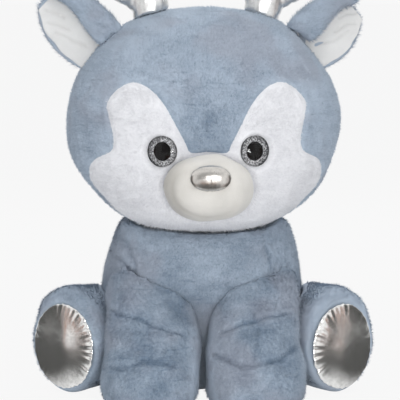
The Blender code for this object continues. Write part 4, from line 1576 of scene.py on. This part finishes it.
@dataclass
class Antler:
    """A stuffed foil antler, sewn flat along its edge."""

    side: Side
    voxel: float = 0.0016
    pucker_scales: Place = (95.0, 16.0, 95.0)
    pucker_height: float = 0.0008
    seam_width: float = 0.0016
    seam_depth: float = 0.0012

    def build(self) -> None:
        """Make the antler with the puckers of its seam."""
        word = self.side.word
        form = Form.from_nodes(f"antler_{word}_foil", (f"antler_{word}",), self.voxel, 10)
        seam = form.y - form.y.mean()
        near = np.exp(-np.abs(seam) / 0.008)
        puckers = smooth_noise(form.places * np.array(self.pucker_scales), 1.0, 61)
        form.push(puckers * near * self.pucker_height)
        form.push(-bell(seam, self.seam_width) * self.seam_depth)
        piece = form.piece(SILVER_FOIL, 1)
        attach(piece, "head")
        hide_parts(f"antler_{word}")
        LOG.info("antler %s", word)


@dataclass
class FrontLeg:
    """A front leg, with the creases where it folds on the chest and at the paw."""

    side: Side
    voxel: float = 0.003
    lump_height: float = 0.0014
    lump_scale: float = 22.0
    shoulder: float = 0.118
    shoulder_drop: float = 0.0035
    inner_side: float = 0.017

    def creases(self) -> tuple[Crease, ...]:
        """The creases that the photograph shows on this leg.

        Returns:
            The crease at the elbow, the one down the leg and the one at the paw.
        """
        if self.side is Side.RIGHT:
            elbow = ((-97, 91), (-80, 88), (-64, 86), (-46, 80), (-30, 74), (-16, 68))
            shin = ((-52, 86), (-50, 70), (-51, 45))
            paw = ((-104, 34), (-88, 40), (-70, 46), (-50, 48), (-28, 46))
        else:
            elbow = ((18, 72), (35, 80), (58, 86), (84, 89))
            shin = ((50, 92), (52, 72), (49, 44))
            paw = ((10, 52), (34, 45), (62, 47), (92, 57))
        return (
            Crease(elbow, 2.2, 2.8, 0.55),
            Crease(shin, 1.0, 2.4, 0.28),
            Crease(paw, 2.6, 5.0, 0.42),
        )

    def build(self) -> None:
        """Make the leg's cover and pile."""
        word, body = self.side.word, f"{self.side.word}_front_leg"
        nodes = (f"front_leg_{word}",)
        form = Form.from_nodes(f"front_leg_{word}_cover", nodes, self.voxel, 6)
        form.swell(self.lump_height, self.lump_scale, 70 + self.side.seed)
        form.push(-self.shoulder_drop * step(form.z, self.shoulder, 0.020))
        form.crease(self.creases())
        form.shade(smooth_noise(form.places, 34.0, 75) * 0.10)
        # Painted light on the inner sides, painted shade all over, and painted bounce light from
        # the floor near the ground.
        form.shade(0.7 * fall(np.abs(form.x), self.inner_side, 0.010))
        form.shade(-0.42)
        form.shade(0.0020 / np.maximum(form.z, 0.016))
        form.stand()
        free = clear_of("torso", 0.0035)
        pile = Pile(71 + self.side.seed).grow(
            form, BLUE_PLUSH, lambda p, n: off_ground(p, n) & free(p)
        )
        cover = form.piece(BLUE_PLUSH)
        for piece in (cover, pile):
            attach(piece, body)
        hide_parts(f"front_leg_{word}")
        LOG.info("front leg %s", word)


@dataclass
class HindLeg:
    """A hind leg with its foil sole."""

    side: Side
    splay: float = math.radians(37.0)
    voxel: float = 0.003
    sole_voxel: float = 0.0013
    pile_length: float = 0.0036
    sole_half_width: float = 0.0425
    sole_half_height: float = 0.046
    sole_narrowing: Place = (0.055, 0.0, 0.02)
    bulge: float = 0.0030
    gather_waves: tuple[int, ...] = (11, 17, 26, 37)
    gather_height: float = 0.0009

    def on_sole(self, places: Array) -> tuple[Array, Array, Array]:
        """Where places lie, seen from the sole's middle.

        Args:
            places: points, in metres.

        Returns:
            How far across and up they are, as shares of the sole, and how far ahead, in metres.
        """
        low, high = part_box(f"foot_sole_{self.side.word}")
        off = places - np.array((low + high) / 2.0)
        across, up = off @ self.across() / self.sole_half_width, off[:, 2] / self.sole_half_height
        return across, up, off @ self.out()

    def out(self) -> Array:
        """The direction that the sole faces."""
        return np.array([math.sin(self.splay) * self.side.value, -math.cos(self.splay), 0.0])

    def across(self) -> Array:
        """The direction across the sole, away from the body."""
        return np.array([math.cos(self.splay) * self.side.value, math.sin(self.splay), 0.0])

    def sole(self) -> Form:
        """The padded sole, gathered along its seam.

        Returns:
            The form.
        """
        word = self.side.word
        sole = Form.from_nodes(f"sole_{word}_foil", (f"foot_sole_{word}",), self.sole_voxel, 5)
        across, up, ahead = self.on_sole(sole.places)
        reach, angle = np.sqrt(across**2 + up**2), np.arctan2(up, across)
        front = ahead > -0.001
        rim = step(reach, 0.55, 0.45) * front
        inner = 0.35 + 0.65 * np.clip(-np.cos(angle), 0.0, 1.0)
        chance = np.random.default_rng(91)
        gathers = np.zeros(len(angle))
        for waves in self.gather_waves:
            gathers += np.sin(angle * waves + chance.uniform(0.0, math.tau)) / 2.2
        sole.push(gathers * rim**2 * inner * self.gather_height)
        narrower, _, lower = self.sole_narrowing
        sole.places -= self.across() * (across * self.sole_half_width * narrower)[:, None]
        sole.places -= np.array([0.0, 0.0, lower]) * (up * self.sole_half_height)[:, None]
        bulge = np.clip(1.0 - reach**2, 0.0, 1.0) * front * self.bulge
        sole.places = sole.places + self.out() * bulge[:, None]
        sole.swell(0.0004, 30.0, 92)
        return sole

    def build(self) -> None:
        """Make the leg's cover, pile and sole."""
        word, body = self.side.word, f"{self.side.word}_hind_leg"
        form = Form.from_nodes(f"hind_leg_{word}_cover", (f"hind_leg_{word}",), self.voxel, 5)
        form.swell(0.0013, 20.0, 80 + self.side.seed)
        # Painted light all over, and more painted light on the deer's left side.
        form.shade(0.26)
        form.shade(0.16 * self.side.value)
        form.stand()
        free = clear_of("torso", 0.0055)

        def keep(roots: Array, normals: Array) -> Array:
            """No pile under the sole, on the ground or against the body.

            Args:
                roots: where the pile grows.
                normals: the surface's directions there.

            Returns:
                Which roots stay.
            """
            across, up, ahead = self.on_sole(roots)
            covered = (across**2 + up**2 < 1.0) & (np.abs(ahead) < 0.008)
            return ~covered & off_ground(roots, normals) & free(roots)

        blades = Pile(81 + self.side.seed, self.pile_length, comb_along(self.out()))
        pile = blades.grow(form, BLUE_PLUSH, keep)
        cover = form.piece(BLUE_PLUSH)
        foil = self.sole().piece(SOLE_FOIL, 1)
        for piece, slot in ((cover, "plush"), (pile, "plush"), (foil, "foil_cloth")):
            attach(piece, body)
        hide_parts(f"hind_leg_{word}")
        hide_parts(f"foot_sole_{word}")
        LOG.info("hind leg %s", word)


@dataclass
class Tail:
    """The short tail at the back."""

    voxel: float = 0.002
    thinning: float = 0.0009
    pile_length: float = 0.008
    toward_tip: Place = (0.0, 0.74, 0.67)

    def build(self) -> None:
        """Make the tail's cover and pile."""
        form = Form.from_nodes("tail_cover", ("tail",), self.voxel, 5)
        form.push(np.full(len(form.places), -self.thinning))
        free = clear_of("torso", 0.004)
        blades = Pile(95, self.pile_length, comb_along(np.array(self.toward_tip)))
        pile = blades.grow(form, BLUE_PLUSH, lambda p, n: free(p))
        cover = form.piece(BLUE_PLUSH)
        for piece in (cover, pile):
            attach(piece, "tail")
        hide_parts("tail")
        LOG.info("tail")


# ---------------------------------------------------------------- studio


def grid(name: str, size: float) -> bpy.types.Mesh:
    """A flat square.

    Args:
        name: the mesh's name.
        size: half its side, in metres.

    Returns:
        The mesh.
    """
    bm = bmesh.new()
    bmesh.ops.create_grid(bm, x_segments=1, y_segments=1, size=size)
    mesh = bpy.data.meshes.new(name)
    bm.to_mesh(mesh)
    bm.free()
    return mesh


@dataclass(frozen=True)
class Card:
    """A card that only the shiny pieces see, upright or lying on the floor."""

    name: str
    place: Place
    size: tuple[float, float]
    colour: Colour
    fade: float = 0.02
    lying: bool = False

    def build(self, middle: Place) -> None:
        """Set the card up, facing the deer's middle or the floor.

        Args:
            middle: the deer's middle.
        """
        finish = CardFinish(self.name, self.colour, self.size, self.fade)
        card = add_object(self.name, grid(self.name, 0.5), finish)
        place = Vector(self.place)
        aim = Vector((middle[0], middle[1], place.z))
        facing = Vector((0.0, 0.0, 1.0)) if self.lying else place - aim
        card.location = place
        card.scale = (*self.size, 1.0)
        card.rotation_euler = facing.to_track_quat("Z", "Y").to_euler()
        for way in ("camera", "diffuse", "shadow", "transmission"):
            setattr(card, f"visible_{way}", False)


@dataclass(frozen=True)
class Lamp:
    """A soft square lamp."""

    name: str
    place: Place
    aim: Place
    size: float
    power: float
    tint: Colour = (1.0, 1.0, 1.0)
    mirrored: bool = True
    lights_cloth: bool = True

    def build(self) -> None:
        """Hang the lamp."""
        data = bpy.data.lights.new(self.name, "AREA")
        data.shape = "SQUARE"
        data.size = self.size
        data.energy = self.power
        data.color = self.tint
        lamp = bpy.data.objects.new(self.name, data)
        lamp.location = self.place
        aim = Vector(self.aim) - Vector(self.place)
        lamp.rotation_euler = aim.to_track_quat("-Z", "Y").to_euler()
        lamp.visible_glossy = self.mirrored
        lamp.visible_diffuse = self.lights_cloth
        bpy.context.scene.collection.objects.link(lamp)


@dataclass
class Studio:
    """The pale studio: floor, soft lights, world, camera, and cards that the foil mirrors."""

    middle: Place = (0.0, -0.05, 0.22)
    backdrop: Colour = (0.938, 0.938, 0.938)
    sky: Colour = (0.93, 0.96, 1.0)
    sky_strength: float = 0.58
    dark: Colour = (0.060, 0.060, 0.057)
    warm: Colour = (0.30, 0.14, 0.085)
    grey: Colour = (0.31, 0.31, 0.31)
    wall: float = 0.86
    mat_middle: float = 0.543
    mat_width: float = 0.83
    mat_fade: float = 0.07
    camera_aim: Place = (0.0, -0.020, 0.200)
    camera_tilt: float = math.radians(6.0)
    camera_distance: float = 2.2
    sensor: float = 36.0
    picture: float = 400.0
    focal_pixels: float = 2185.0
    shift: tuple[float, float] = (-3.0, -9.5)

    def cards(self) -> list[Card]:
        """The cards: dark and warm ones beside and before the deer, and a grey one ahead.

        Returns:
            The cards.
        """
        cards = [Card("front_card", (0.0, -2.35, 0.95), (3.2, 1.9), self.grey, 0.01)]
        width, fade = self.mat_width, self.mat_fade
        for number, hand in enumerate((1.0, -1.0)):
            wall, mat = hand * self.wall, hand * self.mat_middle
            cards += [
                Card(f"card_{number}", (wall, 0.05, 0.26), (0.74, 0.50), self.dark),
                Card(f"warm_card_{number}", (wall, -0.39, 0.18), (0.14, 0.36), self.warm),
                Card(f"mat_{number}", (mat, 0.0, 0.003), (width, 0.56), self.dark, fade, True),
                Card(
                    f"warm_mat_{number}", (mat, -0.24, 0.002), (width, 0.20), self.warm, fade, True
                ),
            ]
        cards += [
            Card("mat_2", (0.0, -0.36, 0.003), (0.40, 0.36), self.dark, fade, True),
            Card("warm_mat_2", (0.0, -0.68, 0.002), (0.52, 0.40), self.warm, fade, True),
        ]
        return cards

    def lamps(self) -> list[Lamp]:
        """The lamps: key and rim, two low fills ahead, and a window that only foil mirrors.

        Returns:
            The lamps.
        """
        aim = self.middle
        warm, mild = (1.0, 0.99, 0.97), (1.0, 0.99, 0.98)
        window_aim = (aim[0], aim[1], 0.27)
        return [
            Lamp("key", (0.08, -0.70, 1.85), aim, 1.8, 11.6, warm, mirrored=False),
            Lamp("rim", (0.1, 1.3, 1.3), aim, 1.2, 11.5),
            Lamp("front", (0.25, -2.0, 0.32), aim, 0.62, 5.0, mild, mirrored=False),
            Lamp("low", (0.0, -1.6, 0.10), (0.0, -0.05, 0.15), 0.40, 4.4, mirrored=False),
            Lamp("window", (0.445, -2.07, 0.27), window_aim, 0.46, 18.0, lights_cloth=False),
        ]

    def world(self) -> None:
        """Soft world light, which is the plain background to the camera and in shiny pieces."""
        world = bpy.data.worlds.new("studio")
        bpy.context.scene.world = world
        graph = Graph.cleared(world)
        seen = graph.node("ShaderNodeBackground", {}, {"Color": self.backdrop})
        sky = {"Color": self.sky, "Strength": self.sky_strength}
        lit = graph.node("ShaderNodeBackground", {}, sky)
        camera, glossy, through = (
            graph.node("ShaderNodeLightPath", output=f"Is {kind} Ray")
            for kind in ("Camera", "Glossy", "Transmission")
        )
        rays = (camera + glossy + through).clamped()
        graph.close(graph.mix_shaders(rays, lit, seen), "ShaderNodeOutputWorld")

    def camera(self) -> None:
        """Set the camera up level with the deer, tilted a little down."""
        scene = bpy.context.scene
        scene.view_settings.view_transform = "Standard"
        camera = bpy.data.objects.new("camera", bpy.data.cameras.new("camera"))
        scene.collection.objects.link(camera)
        target, tilt = Vector(self.camera_aim), self.camera_tilt
        back = Vector((0.0, -math.cos(tilt), math.sin(tilt)))
        camera.location = target + back * self.camera_distance
        camera.rotation_euler = (target - camera.location).to_track_quat("-Z", "Y").to_euler()
        camera.data.sensor_width = self.sensor
        camera.data.lens = self.sensor * self.focal_pixels / self.picture
        camera.data.shift_x = self.shift[0] / self.picture
        camera.data.shift_y = self.shift[1] / self.picture
        scene.camera = camera

    def build(self) -> None:
        """Make the floor, lights, cards, world and camera."""
        finish = FloorFinish("studio_floor", self.backdrop)
        floor = add_object("floor", grid("floor", 20.0), finish)
        floor.location.z = -0.0002
        for lamp in self.lamps():
            lamp.build()
        for card in self.cards():
            card.build(self.middle)
        self.world()
        self.camera()
        LOG.info("studio")


def main() -> None:
    """Build the deer's pieces in order, then the studio."""
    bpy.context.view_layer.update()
    parts: list[object] = [Torso(), Head(), Muzzle()]
    for side in Side:
        parts += [Eye(side), Ear(side), Antler(side), FrontLeg(side), HindLeg(side)]
    parts += [Tail(), Studio()]
    for part in parts:
        part.build()


logging.basicConfig(level=logging.INFO, format="%(message)s")
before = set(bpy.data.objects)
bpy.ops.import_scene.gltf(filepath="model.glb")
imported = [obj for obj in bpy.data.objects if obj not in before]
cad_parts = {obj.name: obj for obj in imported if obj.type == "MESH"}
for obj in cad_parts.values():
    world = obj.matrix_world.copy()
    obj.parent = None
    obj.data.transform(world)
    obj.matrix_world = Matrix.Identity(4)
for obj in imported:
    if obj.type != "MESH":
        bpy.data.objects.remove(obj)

if __name__ == "__main__":
    main()
